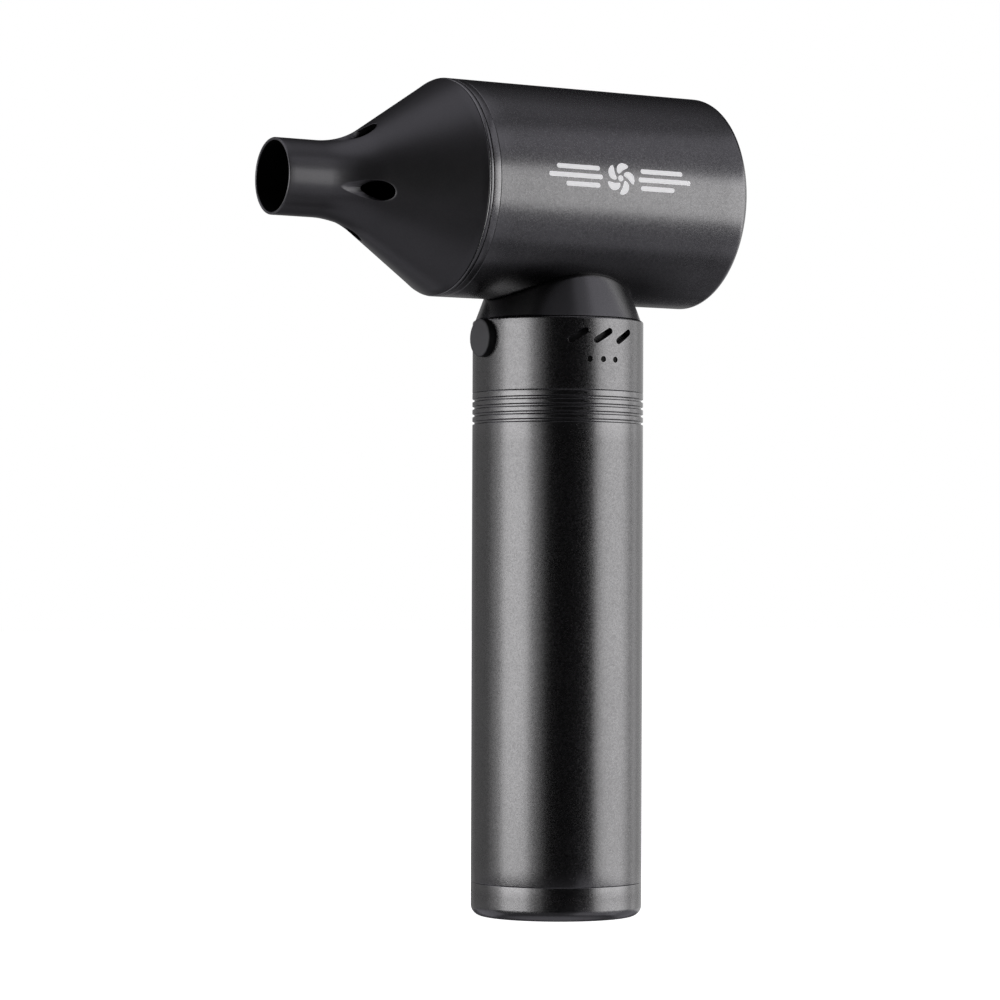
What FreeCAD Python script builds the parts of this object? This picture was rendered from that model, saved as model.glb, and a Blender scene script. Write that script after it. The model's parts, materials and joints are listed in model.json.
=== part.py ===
import FreeCAD, Part
import math
import os
from FreeCAD import Vector

# A cordless jet blower for drying cars. An upright round handle holds six battery cells and the
# controls, and a round head lies across its top. A fan in the head draws air in through the rear
# grille (-X) and drives it out of the nozzle (+X).
# Frame: the origin is the centre of the handle's flat foot, +Z runs up the handle, and +X is the
# way the air leaves. Millimetres.

# ---- driving dimensions ----
HANDLE_R = 24.0
HANDLE_WALL = 2.0
BASE_TOP_Z = 9.5
HOUSING_Z = 146.6          # seam between the battery tube and the control housing
HOUSING_TOP_Z = 166.9
HEAD_AXIS_Z = 202.3
HEAD_R = 30.0
HEAD_WALL = 2.0
HEAD_REAR_X = -44.65
HEAD_FRONT_X = 36.4
COLLAR_FRONT_X = 39.75
NOZZLE_TIP_X = 90.3
NOZZLE_TIP_R = 10.4
NOZZLE_BORE_R = 9.6
CONE_DEG = 33.0            # slope of the nozzle's cone to its axis
DUCT_R = 25.0              # inside of the air duct
HUB_R = 14.0               # outside of the motor's hub in the duct
CELL_R = 9.1
CELL_LENGTH = 65.0
CELL_PITCH = 19.0
LAYER_Z = (5.5, 71.9)      # undersides of the two layers of cells
BUTTON_Z = 161.4
BUTTON_R = 5.3
BUTTON_FACE_X = 26.0
SLOT_Z = 161.5
SLOT_STEP_DEG = 17.8
SLOT_R = 0.88
DOT_Z = 155.1
DOT_STEP_DEG = 9.8
NECK_R = 23.3
NECK_SLOPE_DEG = 20.5
FIT_GAP = 0.1              # radial clearance of the nozzle's spigot and of the button

# ---- sizes that follow ----
TUBE_R = HANDLE_R - HANDLE_WALL
SPIGOT_R = TUBE_R - 0.05
SPIGOT_BORE_R = 20.4
SHELL_R = HEAD_R - HEAD_WALL
HEAD_SCREW_X = (-13.0, 13.0)
HEAD_SCREW_Z = HEAD_AXIS_Z - SHELL_R - 0.15
COLLAR_BORE_R = 26.0
SPIGOT_X = 32.0            # rear end of the nozzle's spigot
SPIGOT_REAR_X = 30.4       # rear end of the collar's spigot
BOARD_Z = 151.6            # top of the control board
BOARD_THICKNESS = 1.6
MOTOR_X = (-16.5, 15.0)    # ends of the motor's hub
CORE_X = (-9.0, 7.0)
CORE_R = 12.0
TOOTH_COUNT = 6
TOOTH_WIDTH = 3.0
ROTOR_GAP_R = 5.6
SHAFT_R = 1.5
BEARING_X = (-15.3, 10.9)  # rear faces of the two bearings
BEARING_WIDTH = 3.0
BEARING_R = 4.0
BALL_R = 0.75
BALL_TRACK_R = 2.75
BALL_COUNT = 7
LEAD_X = 8.5
LEAD_R = 0.8
LEAD_STEP = 2.1

ALONG_X = Vector(1, 0, 0)
ALONG_Y = Vector(0, 1, 0)
ALONG_Z = Vector(0, 0, 1)
HEAD_CENTRE = Vector(0, 0, HEAD_AXIS_Z)


# ---- shape helpers ----
def head(x, radius):
    """A point in the XZ plane at a distance from the head's axis."""
    return Vector(x, 0, HEAD_AXIS_Z + radius)


def grip(radius, z):
    """A point in the XZ plane at a distance from the handle's axis."""
    return Vector(radius, 0, z)


def bend(centre, radius, start_deg, end_deg):
    """The middle and the end of an arc in the XZ plane."""
    points = []
    for degrees in ((start_deg + end_deg) / 2, end_deg):
        turn = math.radians(degrees)
        points.append(centre + Vector(radius * math.cos(turn), 0, radius * math.sin(turn)))
    return tuple(points)


def face_of(start, *steps):
    """A flat face: each step is an end point, reached by a line, or an arc's middle and end."""
    edges = []
    here = start
    for step in steps + (start,):
        if isinstance(step, tuple):
            middle, end = step
            edges.append(Part.Arc(here, middle, end).toShape())
        else:
            end = step
            edges.append(Part.LineSegment(here, end).toShape())
        here = end
    return Part.Face(Part.Wire(edges))


def turned_head(*outline):
    """The outline turned about the head's axis."""
    return face_of(*outline).revolve(HEAD_CENTRE, ALONG_X, 360)


def turned_grip(*outline):
    """The outline turned about the handle's axis."""
    return face_of(*outline).revolve(Vector(), ALONG_Z, 360)


def box(low, high):
    """A box between two corners."""
    size = [b - a for a, b in zip(low, high)]
    return Part.makeBox(*size, Vector(*low))


def rod(start, along, length, radius):
    return Part.makeCylinder(radius, length, start, along)


def head_rod(x_from, x_to, radius):
    """A cylinder on the head's axis."""
    return rod(Vector(x_from, 0, HEAD_AXIS_Z), ALONG_X, x_to - x_from, radius)


def head_tube(x_from, x_to, outer_r, inner_r):
    return head_rod(x_from, x_to, outer_r).cut(head_rod(x_from - 1, x_to + 1, inner_r))


def disc(radius, z_from, z_to):
    """A cylinder on the handle's axis."""
    return rod(Vector(0, 0, z_from), ALONG_Z, z_to - z_from, radius)


def radial(angle_deg):
    """The unit vector out of the handle's axis; 0 is +X and 90 is +Y."""
    return Vector(math.cos(math.radians(angle_deg)), math.sin(math.radians(angle_deg)), 0)


def turn_copies(shape, count, centre, axis):
    """The shape and its equally spaced copies about an axis."""
    copies = []
    for index in range(count):
        copy = shape.copy()
        copy.rotate(centre, axis, index * 360.0 / count)
        copies.append(copy)
    return copies


def stadium(centre, out, along, spacing, radius, depth):
    """A round-ended bar cut to run along the direction out, with its ends spacing apart."""
    half = along * (spacing / 2)
    side = out.cross(along) * radius
    corners = [centre - half - side, centre + half - side, centre + half + side, centre - half + side]
    slab = Part.Face(Part.makePolygon(corners + corners[:1])).extrude(out * depth)
    ends = [rod(centre + shift, out, depth, radius) for shift in (half, -half)]
    return slab.fuse(ends).removeSplitter()


def lead(points, radius):
    """A wire along straight runs, with a tangent arc at each inner point as large as the runs allow."""
    edges = []
    here = points[0]
    for before, corner, after in zip(points, points[1:], points[2:]):
        run_in = corner - before
        run_out = after - corner
        turn = run_in.getAngle(run_out)
        reach = 0.45 * min(run_in.Length, run_out.Length)
        arc_r = reach / math.tan(turn / 2)
        start = corner - run_in.normalize() * reach
        end = corner + run_out.normalize() * reach
        inward = (start + end) * 0.5 - corner
        sagitta = arc_r / math.cos(turn / 2) - arc_r
        middle = corner + inward.normalize() * sagitta
        edges.append(Part.LineSegment(here, start).toShape())
        edges.append(Part.Arc(start, middle, end).toShape())
        here = end
    edges.append(Part.LineSegment(here, points[-1]).toShape())
    section = Part.Wire(Part.makeCircle(radius, points[0], points[1] - points[0]))
    return Part.Wire(edges).makePipeShell([section], True, True)


def blade(stations, chord, centre_x, camber, thickness):
    """A twisted blade on top of the head's axis. Each station is a radius and the angle of the chord
    to the axis, and its section is a thin curved lens."""
    wires = []
    for radius, angle_deg in stations:
        turn = math.radians(angle_deg)
        chordwise = Vector(math.cos(turn), math.sin(turn), 0)
        across = Vector(-math.sin(turn), math.cos(turn), 0)
        middle = head(centre_x, radius)
        nose = middle - chordwise * (chord / 2)
        tail = middle + chordwise * (chord / 2)
        back = Part.Arc(nose, middle + across * (camber + thickness / 2), tail).toShape()
        belly = Part.Arc(tail, middle + across * (camber - thickness / 2), nose).toShape()
        wires.append(Part.Wire([back, belly]))
    return Part.makeLoft(wires, True, False)


def pan_screw(seat, out, length, head_r=2.0, shank_r=1.1):
    """A pan-head screw whose head lies on the seat, with a hexagon socket; its shank runs inwards."""
    cap = rod(seat, out, 1.4, head_r)
    shank = rod(seat, out * -1, length, shank_r)
    across = out.cross(ALONG_X if abs(out.x) < 0.5 else ALONG_Y)
    corners = []
    for index in range(7):
        turn = FreeCAD.Rotation(out, index * 60)
        corners.append(seat + out * 0.6 + turn.multVec(across) * 0.9)
    socket = Part.Face(Part.makePolygon(corners)).extrude(out * 2)
    return cap.fuse(shank).cut(socket)


def sunk_screw(top, out, length, head_r=2.1, shank_r=1.1):
    """A countersunk screw with its flat head flush at the top point."""
    cone = Part.makeCone(head_r, shank_r, head_r - shank_r, top, out * -1)
    shank = rod(top, out * -1, length, shank_r)
    slot = box((-head_r, -0.25, -0.6), (head_r, 0.25, 0.5))
    slot.Placement = FreeCAD.Placement(top, FreeCAD.Rotation(ALONG_Z, out))
    return cone.fuse(shank).cut(slot)


PARTS = {}


def keep(name, *solids):
    """Stores one node: a single solid, or a group of separate solids."""
    PARTS[name] = solids[0] if len(solids) == 1 else Part.makeCompound(list(solids))


# ---- handle: base ----
def make_base():
    foot_round = 3.0
    floor_z = 3.0
    pad_r = 17.0
    pad_z = 1.2
    spigot_z = 14.0
    groove_z = (11.2, 12.6)
    groove_r = 20.8
    edge = 0.15
    cap = turned_grip(
        grip(0, pad_z), grip(pad_r, pad_z), grip(pad_r, 0), grip(HANDLE_R - foot_round, 0),
        bend(grip(HANDLE_R - foot_round, foot_round), foot_round, -90, 0),
        grip(HANDLE_R, BASE_TOP_Z - edge), grip(HANDLE_R - edge, BASE_TOP_Z),
        grip(SPIGOT_R, BASE_TOP_Z), grip(SPIGOT_R, groove_z[0]), grip(groove_r, groove_z[0]),
        grip(groove_r, groove_z[1]), grip(SPIGOT_R, groove_z[1]), grip(SPIGOT_R, spigot_z),
        grip(SPIGOT_BORE_R, spigot_z), grip(SPIGOT_BORE_R, floor_z), grip(0, floor_z))
    keep("base_cap", cap)
    seal_r = (TUBE_R - groove_r) / 2
    seal_z = sum(groove_z) / 2
    keep("base_seal", Part.makeTorus(groove_r + seal_r, seal_r, Vector(0, 0, seal_z)))
    pad = disc(pad_r, 0, pad_z)
    for ring_r in (5, 9, 13):
        pad = pad.cut(disc(ring_r + 0.5, -1, 0.4).cut(disc(ring_r - 0.5, -1, 0.4)))
    keep("base_pad", pad)


# ---- handle: battery ----
def cell_centres():
    """The three cell axes in a layer: a triangle about the handle's axis."""
    ring_r = CELL_PITCH / math.sqrt(3)
    return [radial(angle) * ring_r for angle in (30, 150, 270)]


def make_cell(centre, z):
    can_top = z + CELL_LENGTH - 0.8
    crimp = can_top - 2.6
    cell = turned_grip(
        grip(0, z), grip(CELL_R - 0.5, z), bend(grip(CELL_R - 0.5, z + 0.5), 0.5, -90, 0),
        grip(CELL_R, crimp - 0.6), grip(CELL_R - 0.5, crimp), grip(CELL_R, crimp + 0.6),
        grip(CELL_R, can_top - 0.5), bend(grip(CELL_R - 0.5, can_top - 0.5), 0.5, 0, 90),
        grip(3.0, can_top), grip(3.0, z + CELL_LENGTH), grip(0, z + CELL_LENGTH))
    cell.translate(centre)
    return cell


def make_battery():
    cells = [make_cell(centre, z) for z in LAYER_Z for centre in cell_centres()]
    keep("battery_cells", *cells)

    holders = []
    for z in (16.0, 60.0, 76.0, 128.0):
        holder = disc(SPIGOT_R, z, z + 8)
        for centre in cell_centres():
            holder = holder.cut(rod(centre + Vector(0, 0, z - 1), ALONG_Z, 10, CELL_R))
        holders.append(holder)
    keep("cell_holders", *holders)

    strips = []
    bar_width = 4.0
    for z in (LAYER_Z[0] - 0.3, LAYER_Z[0] + CELL_LENGTH, LAYER_Z[1] - 0.3, LAYER_Z[1] + CELL_LENGTH):
        bars = []
        for centre in cell_centres():
            bar = box((0, -bar_width / 2, z), (centre.Length + 3, bar_width / 2, z + 0.3))
            bar.rotate(Vector(), ALONG_Z, math.degrees(math.atan2(centre.y, centre.x)))
            bars.append(bar)
        strips.append(bars[0].fuse(bars[1:]).removeSplitter())
    keep("nickel_strips", *strips)

    sheet = 0.8
    sheet_z = (LAYER_Z[0] - 0.3 - sheet, LAYER_Z[0] + CELL_LENGTH + 0.3, LAYER_Z[1] + CELL_LENGTH + 0.3)
    keep("insulator_discs", *[disc(20.2, z, z + sheet) for z in sheet_z])

    board_z = sheet_z[2] + sheet
    board_top = board_z + BOARD_THICKNESS
    keep("protection_board", disc(20.2, board_z, board_top))
    chips = [box((x - 2.5, y - 2.0, board_top), (x + 2.5, y + 2.0, board_top + 1.1))
             for x in (-6.5, 0, 6.5) for y in (-8.5, -2.5)]
    chips.append(box((-4, 5, board_top), (4, 9, board_top + 0.9)))
    keep("protection_chips", *chips)

    leads = []
    for side in (-1, 1):
        route = [Vector(14 * side, 4, board_top), Vector(14 * side, 4, board_top + 4),
                 Vector(11 * side, 4, BOARD_Z - BOARD_THICKNESS - 2.5),
                 Vector(11 * side, 4, BOARD_Z - BOARD_THICKNESS)]
        leads.append(lead(route, 0.9))
    keep("battery_leads", *leads)

    groove_depth = 0.5
    groove_r = 0.45
    groove_step = 2.1
    edge = 0.2
    tube = turned_grip(
        grip(TUBE_R, BASE_TOP_Z), grip(HANDLE_R - edge, BASE_TOP_Z), grip(HANDLE_R, BASE_TOP_Z + edge),
        grip(HANDLE_R, HOUSING_Z - edge), grip(HANDLE_R - edge, HOUSING_Z), grip(TUBE_R, HOUSING_Z))
    for index in range(4):
        centre_z = HOUSING_Z - groove_step * (index + 1)
        tube = tube.cut(Part.makeTorus(HANDLE_R - groove_depth + groove_r, groove_r, Vector(0, 0, centre_z)))
    keep("battery_tube", tube)


# ---- handle: controls ----
def make_control_housing():
    ledge_z = BOARD_Z - BOARD_THICKNESS
    flange_z = HOUSING_TOP_Z - 2.2
    flange_bore_r = 11.0
    top_round = 0.7
    edge = 0.2
    housing = turned_grip(
        grip(SPIGOT_R, HOUSING_Z), grip(HANDLE_R - edge, HOUSING_Z), grip(HANDLE_R, HOUSING_Z + edge),
        grip(HANDLE_R, HOUSING_TOP_Z - top_round),
        bend(grip(HANDLE_R - top_round, HOUSING_TOP_Z - top_round), top_round, 0, 90),
        grip(flange_bore_r, HOUSING_TOP_Z), grip(flange_bore_r, flange_z), grip(TUBE_R, flange_z),
        grip(TUBE_R, ledge_z), grip(SPIGOT_BORE_R - 1.4, ledge_z),
        grip(SPIGOT_BORE_R, ledge_z - 1.4), grip(SPIGOT_BORE_R, HOUSING_Z - 5.5),
        grip(SPIGOT_R, HOUSING_Z - 5.5))
    cuts = [rod(Vector(18, 0, BUTTON_Z), ALONG_X, 8, BUTTON_R + FIT_GAP)]
    slot_spread = 4.2
    slot_rise = 2.5
    for step in (-1, 0, 1):
        angle = 90 + step * SLOT_STEP_DEG
        out = radial(angle)
        lean = radial(angle + 90) * slot_spread + ALONG_Z * slot_rise
        centre = out * 20 + ALONG_Z * SLOT_Z
        cuts.append(stadium(centre, out, lean.normalize(), math.hypot(slot_spread, slot_rise), SLOT_R, 6))
        dot_out = radial(90 + step * DOT_STEP_DEG)
        cuts.append(rod(dot_out * 20 + ALONG_Z * DOT_Z, dot_out, 6, 0.8))
    inlet = Vector(-26, 0, BOARD_Z + 1.65)
    cuts.append(stadium(inlet, ALONG_X, ALONG_Y, 6.2, 2.1, 6))
    for angle in (90, 210, 330):
        cuts.append(rod(radial(angle) * 15.5 + ALONG_Z * (flange_z - 1), ALONG_Z, 5, 1.1))
    for cut in cuts:
        housing = housing.cut(cut)
    keep("control_housing", housing)

    screen = disc(21.8, 157.4, flange_z).cut(disc(21.0, 150, 170))
    wedge = Part.makeCylinder(25, 20, Vector(0, 0, 150), ALONG_Z, 80)
    wedge.rotate(Vector(), ALONG_Z, 50)
    keep("vent_screen", screen.common(wedge))


def make_controls():
    ledge_z = BOARD_Z - BOARD_THICKNESS
    board = disc(21.6, ledge_z, BOARD_Z)
    keep("control_board", board)
    transistors = []
    for angle in (85, 120, 265, 300):
        chip = box((10.5, -2.5, BOARD_Z), (16.5, 2.5, BOARD_Z + 1.1))
        chip.rotate(Vector(), ALONG_Z, angle)
        transistors.append(chip)
    keep("power_transistors", *transistors)
    keep("microcontroller", box((-4.5, 2.5, BOARD_Z), (1.5, 8.5, BOARD_Z + 0.9)))
    can = rod(Vector(-8.5, -11.5, BOARD_Z), ALONG_Z, 11.5, 4.0)
    can = can.cut(Part.makeTorus(4.3, 0.6, Vector(-8.5, -11.5, BOARD_Z + 1.8)))
    keep("bulk_capacitor", can)

    switch_x = 14.2
    keep("switch_board", box((switch_x - 1.6, -7.5, BOARD_Z), (switch_x, 7.5, 163.0)))
    plunger_r = 1.7
    body = box((switch_x, -3, BUTTON_Z - 3), (switch_x + 3.4, 3, BUTTON_Z + 3))
    body = body.cut(rod(Vector(switch_x + 1.6, 0, BUTTON_Z), ALONG_X, 3, plunger_r + 0.06))
    keep("tact_switch", body)
    plunger_x = switch_x + 2.6
    post_x = plunger_x + 1.6
    keep("switch_plunger", rod(Vector(plunger_x, 0, BUTTON_Z), ALONG_X, post_x - plunger_x, plunger_r))

    tab_x = (19.2, 20.7)
    face_round = 0.5
    dome = 0.25
    rim_x = BUTTON_FACE_X - dome - face_round
    cap = face_of(
        Vector(tab_x[0], 0, BUTTON_Z), Vector(tab_x[0], 0, BUTTON_Z + BUTTON_R - 1.5),
        Vector(tab_x[1], 0, BUTTON_Z + BUTTON_R), Vector(rim_x, 0, BUTTON_Z + BUTTON_R),
        bend(Vector(rim_x, 0, BUTTON_Z + BUTTON_R - face_round), face_round, 90, 0),
        (Vector(BUTTON_FACE_X - dome * 0.3, 0, BUTTON_Z + BUTTON_R * 0.5),
         Vector(BUTTON_FACE_X, 0, BUTTON_Z + 0.5)),
        Vector(BUTTON_FACE_X, 0, BUTTON_Z))
    cap = cap.revolve(Vector(0, 0, BUTTON_Z), ALONG_X, 360)
    tabs = box((tab_x[0], -6.9, BUTTON_Z - 2.0), (tab_x[1] - 0.1, 6.9, BUTTON_Z + 2.0))
    post = rod(Vector(post_x, 0, BUTTON_Z), ALONG_X, tab_x[0] - post_x, 1.3)
    keep("power_button", cap.fuse([tabs, post]).removeSplitter())

    led_y = 18.2
    keep("indicator_board", box((-6.5, led_y - 1.2, BOARD_Z), (6.5, led_y, 157.0)))
    leds = []
    lenses = []
    for step in (-1, 0, 1):
        out = radial(90 + step * DOT_STEP_DEG)
        x = out.x * led_y
        leds.append(box((x - 0.8, led_y, DOT_Z - 0.6), (x + 0.8, led_y + 0.7, DOT_Z + 0.6)))
        lenses.append(rod(out * 19.6 + ALONG_Z * DOT_Z, out, 4.1, 0.8))
    keep("indicator_leds", *leds)
    keep("indicator_lenses", *lenses)

    port_z = (BOARD_Z, BOARD_Z + 3.3)
    middle = Vector(-21.7, 0, sum(port_z) / 2)
    shell = stadium(middle, ALONG_X, ALONG_Y, 5.7, 1.65, 7.5)
    mouth = stadium(middle - ALONG_X, ALONG_X, ALONG_Y, 5.7, 1.35, 7.2)
    tongue = box((-20.9, -3.0, middle.z - 0.35), (-14.5, 3.0, middle.z + 0.35))
    keep("charge_socket", shell.cut(mouth).fuse(tongue))


# ---- neck ----
def make_neck():
    slope = math.tan(math.radians(NECK_SLOPE_DEG))
    top_z = 186.0
    height = top_z - HOUSING_TOP_Z
    floor_z = HOUSING_TOP_Z + 2.0
    lead_hole_r = 9.0
    outer = Part.makeCone(NECK_R, NECK_R - slope * height, height, Vector(0, 0, HOUSING_TOP_Z))
    inner_r = NECK_R - 2.3
    inner = Part.makeCone(inner_r, inner_r - slope * height, height, Vector(0, 0, floor_z))
    neck = outer.cut(inner).cut(disc(lead_hole_r, HOUSING_TOP_Z - 1, floor_z + 1))
    bosses = [rod(Vector(x, 0, floor_z), ALONG_Z, 8, 2.8) for x in HEAD_SCREW_X]
    neck = neck.fuse(bosses).cut(head_rod(-60, 60, HEAD_R))
    screws = []
    for angle in (90, 210, 330):
        seat = radial(angle) * 15.5 + ALONG_Z * (HOUSING_TOP_Z - 2.2)
        screw = pan_screw(seat, ALONG_Z * -1, 4.2)
        neck = neck.cut(rod(seat, ALONG_Z, 4.2, 1.1))
        screws.append(screw)
    for x in HEAD_SCREW_X:
        neck = neck.cut(rod(Vector(x, 0, HEAD_SCREW_Z - 7), ALONG_Z, 8, 1.1))
    keep("neck", neck)
    keep("neck_screws", *screws)
    keep("head_screws", *[sunk_screw(Vector(x, 0, HEAD_SCREW_Z), ALONG_Z, 7) for x in HEAD_SCREW_X])


# ---- head: casing ----
def make_head_casing():
    rear_round = 3.5
    lip = 2.5
    edge = 0.15
    shell = turned_head(
        head(HEAD_FRONT_X, SHELL_R), head(HEAD_FRONT_X, HEAD_R - edge), head(HEAD_FRONT_X - edge, HEAD_R),
        head(HEAD_REAR_X + rear_round, HEAD_R),
        bend(head(HEAD_REAR_X + rear_round, HEAD_R - rear_round), rear_round, 90, 180),
        head(HEAD_REAR_X, DUCT_R + 0.4), head(HEAD_REAR_X + 0.4, DUCT_R), head(HEAD_REAR_X + lip, DUCT_R),
        head(HEAD_REAR_X + lip, SHELL_R))
    shell = shell.cut(rod(Vector(0, 0, 165), ALONG_Z, 15, 8.0).fuse(
        rod(Vector(LEAD_X - 2, 0, 165), ALONG_Z, 15, 6.0)))
    for x in HEAD_SCREW_X:
        sink = 2.1 - 1.1
        top = Vector(x, 0, HEAD_SCREW_Z)
        shell = shell.cut(rod(top, ALONG_Z * -1, 6, 1.1))
        shell = shell.cut(Part.makeCone(2.1, 1.1, sink, top, ALONG_Z * -1).fuse(rod(top, ALONG_Z, 3, 2.1)))
    keep("head_shell", shell)

    groove_x = 38.65
    groove = 0.2
    ring_groove_x = (34.0, 35.6)
    ring_groove_r = 27.0
    collar = turned_head(
        head(HEAD_FRONT_X, HEAD_R - edge), head(HEAD_FRONT_X + edge, HEAD_R),
        head(groove_x - groove, HEAD_R), head(groove_x - groove, HEAD_R - 0.4),
        head(groove_x + groove, HEAD_R - 0.4), head(groove_x + groove, HEAD_R),
        head(COLLAR_FRONT_X - 0.3, HEAD_R), head(COLLAR_FRONT_X, HEAD_R - 0.3),
        head(COLLAR_FRONT_X, COLLAR_BORE_R), head(ring_groove_x[1], COLLAR_BORE_R),
        head(ring_groove_x[1], ring_groove_r), head(ring_groove_x[0], ring_groove_r),
        head(ring_groove_x[0], COLLAR_BORE_R), head(SPIGOT_REAR_X, COLLAR_BORE_R),
        head(SPIGOT_REAR_X, SHELL_R), head(HEAD_FRONT_X, SHELL_R))
    keep("front_collar", collar)

    seal_r = 0.5
    seal_centre = head(sum(ring_groove_x) / 2, 0)
    keep("nozzle_seal", Part.makeTorus(COLLAR_BORE_R + 0.45, seal_r, seal_centre, ALONG_X))

    flange_x = HEAD_REAR_X + lip
    mouth_x = flange_x + 1
    plate = head_rod(flange_x - 1.75, mouth_x, DUCT_R - 0.1)
    plate = plate.fuse(head_rod(flange_x, mouth_x, SHELL_R - 0.1))
    keep("rear_grille", plate.cut(honeycomb(flange_x - 5, 10)).removeSplitter())

    duct_x = -36.0
    flare = duct_x - mouth_x
    throat = turned_head(
        head(mouth_x, SHELL_R), head(mouth_x, DUCT_R + 2.4),
        (head(mouth_x + flare * 0.45, DUCT_R + 0.7), head(duct_x, DUCT_R)),
        head(duct_x, SHELL_R))
    keep("intake_bellmouth", throat)

    duct_wall = 2.0
    duct = head_tube(duct_x, SPIGOT_REAR_X, DUCT_R + duct_wall, DUCT_R)
    duct = duct.cut(rod(Vector(LEAD_X, 0, 165), ALONG_Z, 20, 3.6))
    keep("fan_duct", duct)
    dampers = [head_tube(x, x + 4, SHELL_R, DUCT_R + duct_wall) for x in (-34.0, 20.0)]
    keep("duct_dampers", *dampers)


def honeycomb(x_from, depth):
    """Hexagonal holes in a triangular pattern that fills the grille, but for its centre."""
    pitch = 4.3
    hole_r = 1.98
    pattern_r = 22.4
    centre_r = 5.0
    rows = int(pattern_r / pitch * 1.3)
    holes = []
    for row in range(-rows, rows + 1):
        z = row * pitch * math.sqrt(3) / 2
        for column in range(-rows, rows + 1):
            y = (column + (row % 2) / 2) * pitch
            if centre_r < math.hypot(y, z) < pattern_r:
                middle = Vector(x_from, y, HEAD_AXIS_Z + z)
                corners = []
                for index in range(7):
                    turn = math.radians(30 + 60 * index)
                    corners.append(middle + Vector(0, hole_r * math.cos(turn), hole_r * math.sin(turn)))
                corners[6] = corners[0]
                holes.append(Part.Face(Part.makePolygon(corners)).extrude(ALONG_X * depth))
    return Part.makeCompound(holes)


# ---- head: fan and motor ----
def make_fan():
    hub_r = 13.0
    hub_x = (-30.0, -17.6)
    nose_x = -37.0
    nose_r = 3.4
    hub = turned_head(
        head(nose_x, SHAFT_R), head(nose_x, nose_r),
        (head(-34.2, 9.6), head(hub_x[0], hub_r)), head(hub_x[1], hub_r),
        head(hub_x[1], hub_r - 1.6), head(hub_x[0] + 2, hub_r - 1.6), head(hub_x[0] + 2, 4.0),
        head(hub_x[1], 4.0), head(hub_x[1], SHAFT_R))
    vane = blade(((hub_r - 0.9, 38), (19, 50), (25.5, 60)), 15.0, -24.2, 1.3, 1.3)
    swept = head_tube(nose_x, hub_x[1], DUCT_R - 0.4, hub_r - 0.9)
    vane = vane.common(swept)
    impeller = hub.fuse(turn_copies(vane, 9, HEAD_CENTRE, ALONG_X)).removeSplitter()
    keep("impeller", impeller)
    nut_x = nose_x - 2.6
    nut = turned_head(head(nose_x, 0), head(nose_x, 3.2), head(nut_x + 1.2, 3.2),
                      bend(head(nut_x + 1.2, 2.0), 1.2, 90, 180), head(nut_x, 0))
    keep("impeller_nut", nut.cut(head_rod(nose_x - 1.6, nose_x + 1, SHAFT_R)))
    keep("motor_shaft", head_rod(nose_x - 1.6, 14.4, SHAFT_R))
    keep("motor_magnet", head_tube(CORE_X[0], CORE_X[1], ROTOR_GAP_R - 0.6, SHAFT_R))


def make_bearings():
    outer_rings = []
    inner_rings = []
    balls = []
    cages = []
    for x in BEARING_X:
        middle = Vector(x + BEARING_WIDTH / 2, 0, HEAD_AXIS_Z)
        track = Part.makeTorus(BALL_TRACK_R, BALL_R + 0.06, middle, ALONG_X)
        outer_rings.append(head_tube(x, x + BEARING_WIDTH, BEARING_R, BALL_TRACK_R + 0.45).cut(track))
        inner_rings.append(head_tube(x, x + BEARING_WIDTH, BALL_TRACK_R - 0.45, SHAFT_R).cut(track))
        ball = Part.makeSphere(BALL_R, middle + Vector(0, 0, BALL_TRACK_R))
        row = turn_copies(ball, BALL_COUNT, HEAD_CENTRE, ALONG_X)
        balls += row
        pocket = Part.makeSphere(BALL_R, middle + Vector(0, 0, BALL_TRACK_R))
        cage = head_tube(middle.x - 1.1, middle.x + 1.1, BALL_TRACK_R + 0.25, BALL_TRACK_R - 0.25)
        cages.append(cage.cut(turn_copies(pocket, BALL_COUNT, HEAD_CENTRE, ALONG_X)))
    keep("bearing_outer_rings", *outer_rings)
    keep("bearing_inner_rings", *inner_rings)
    keep("bearing_balls", *balls)
    keep("bearing_cages", *cages)


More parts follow.
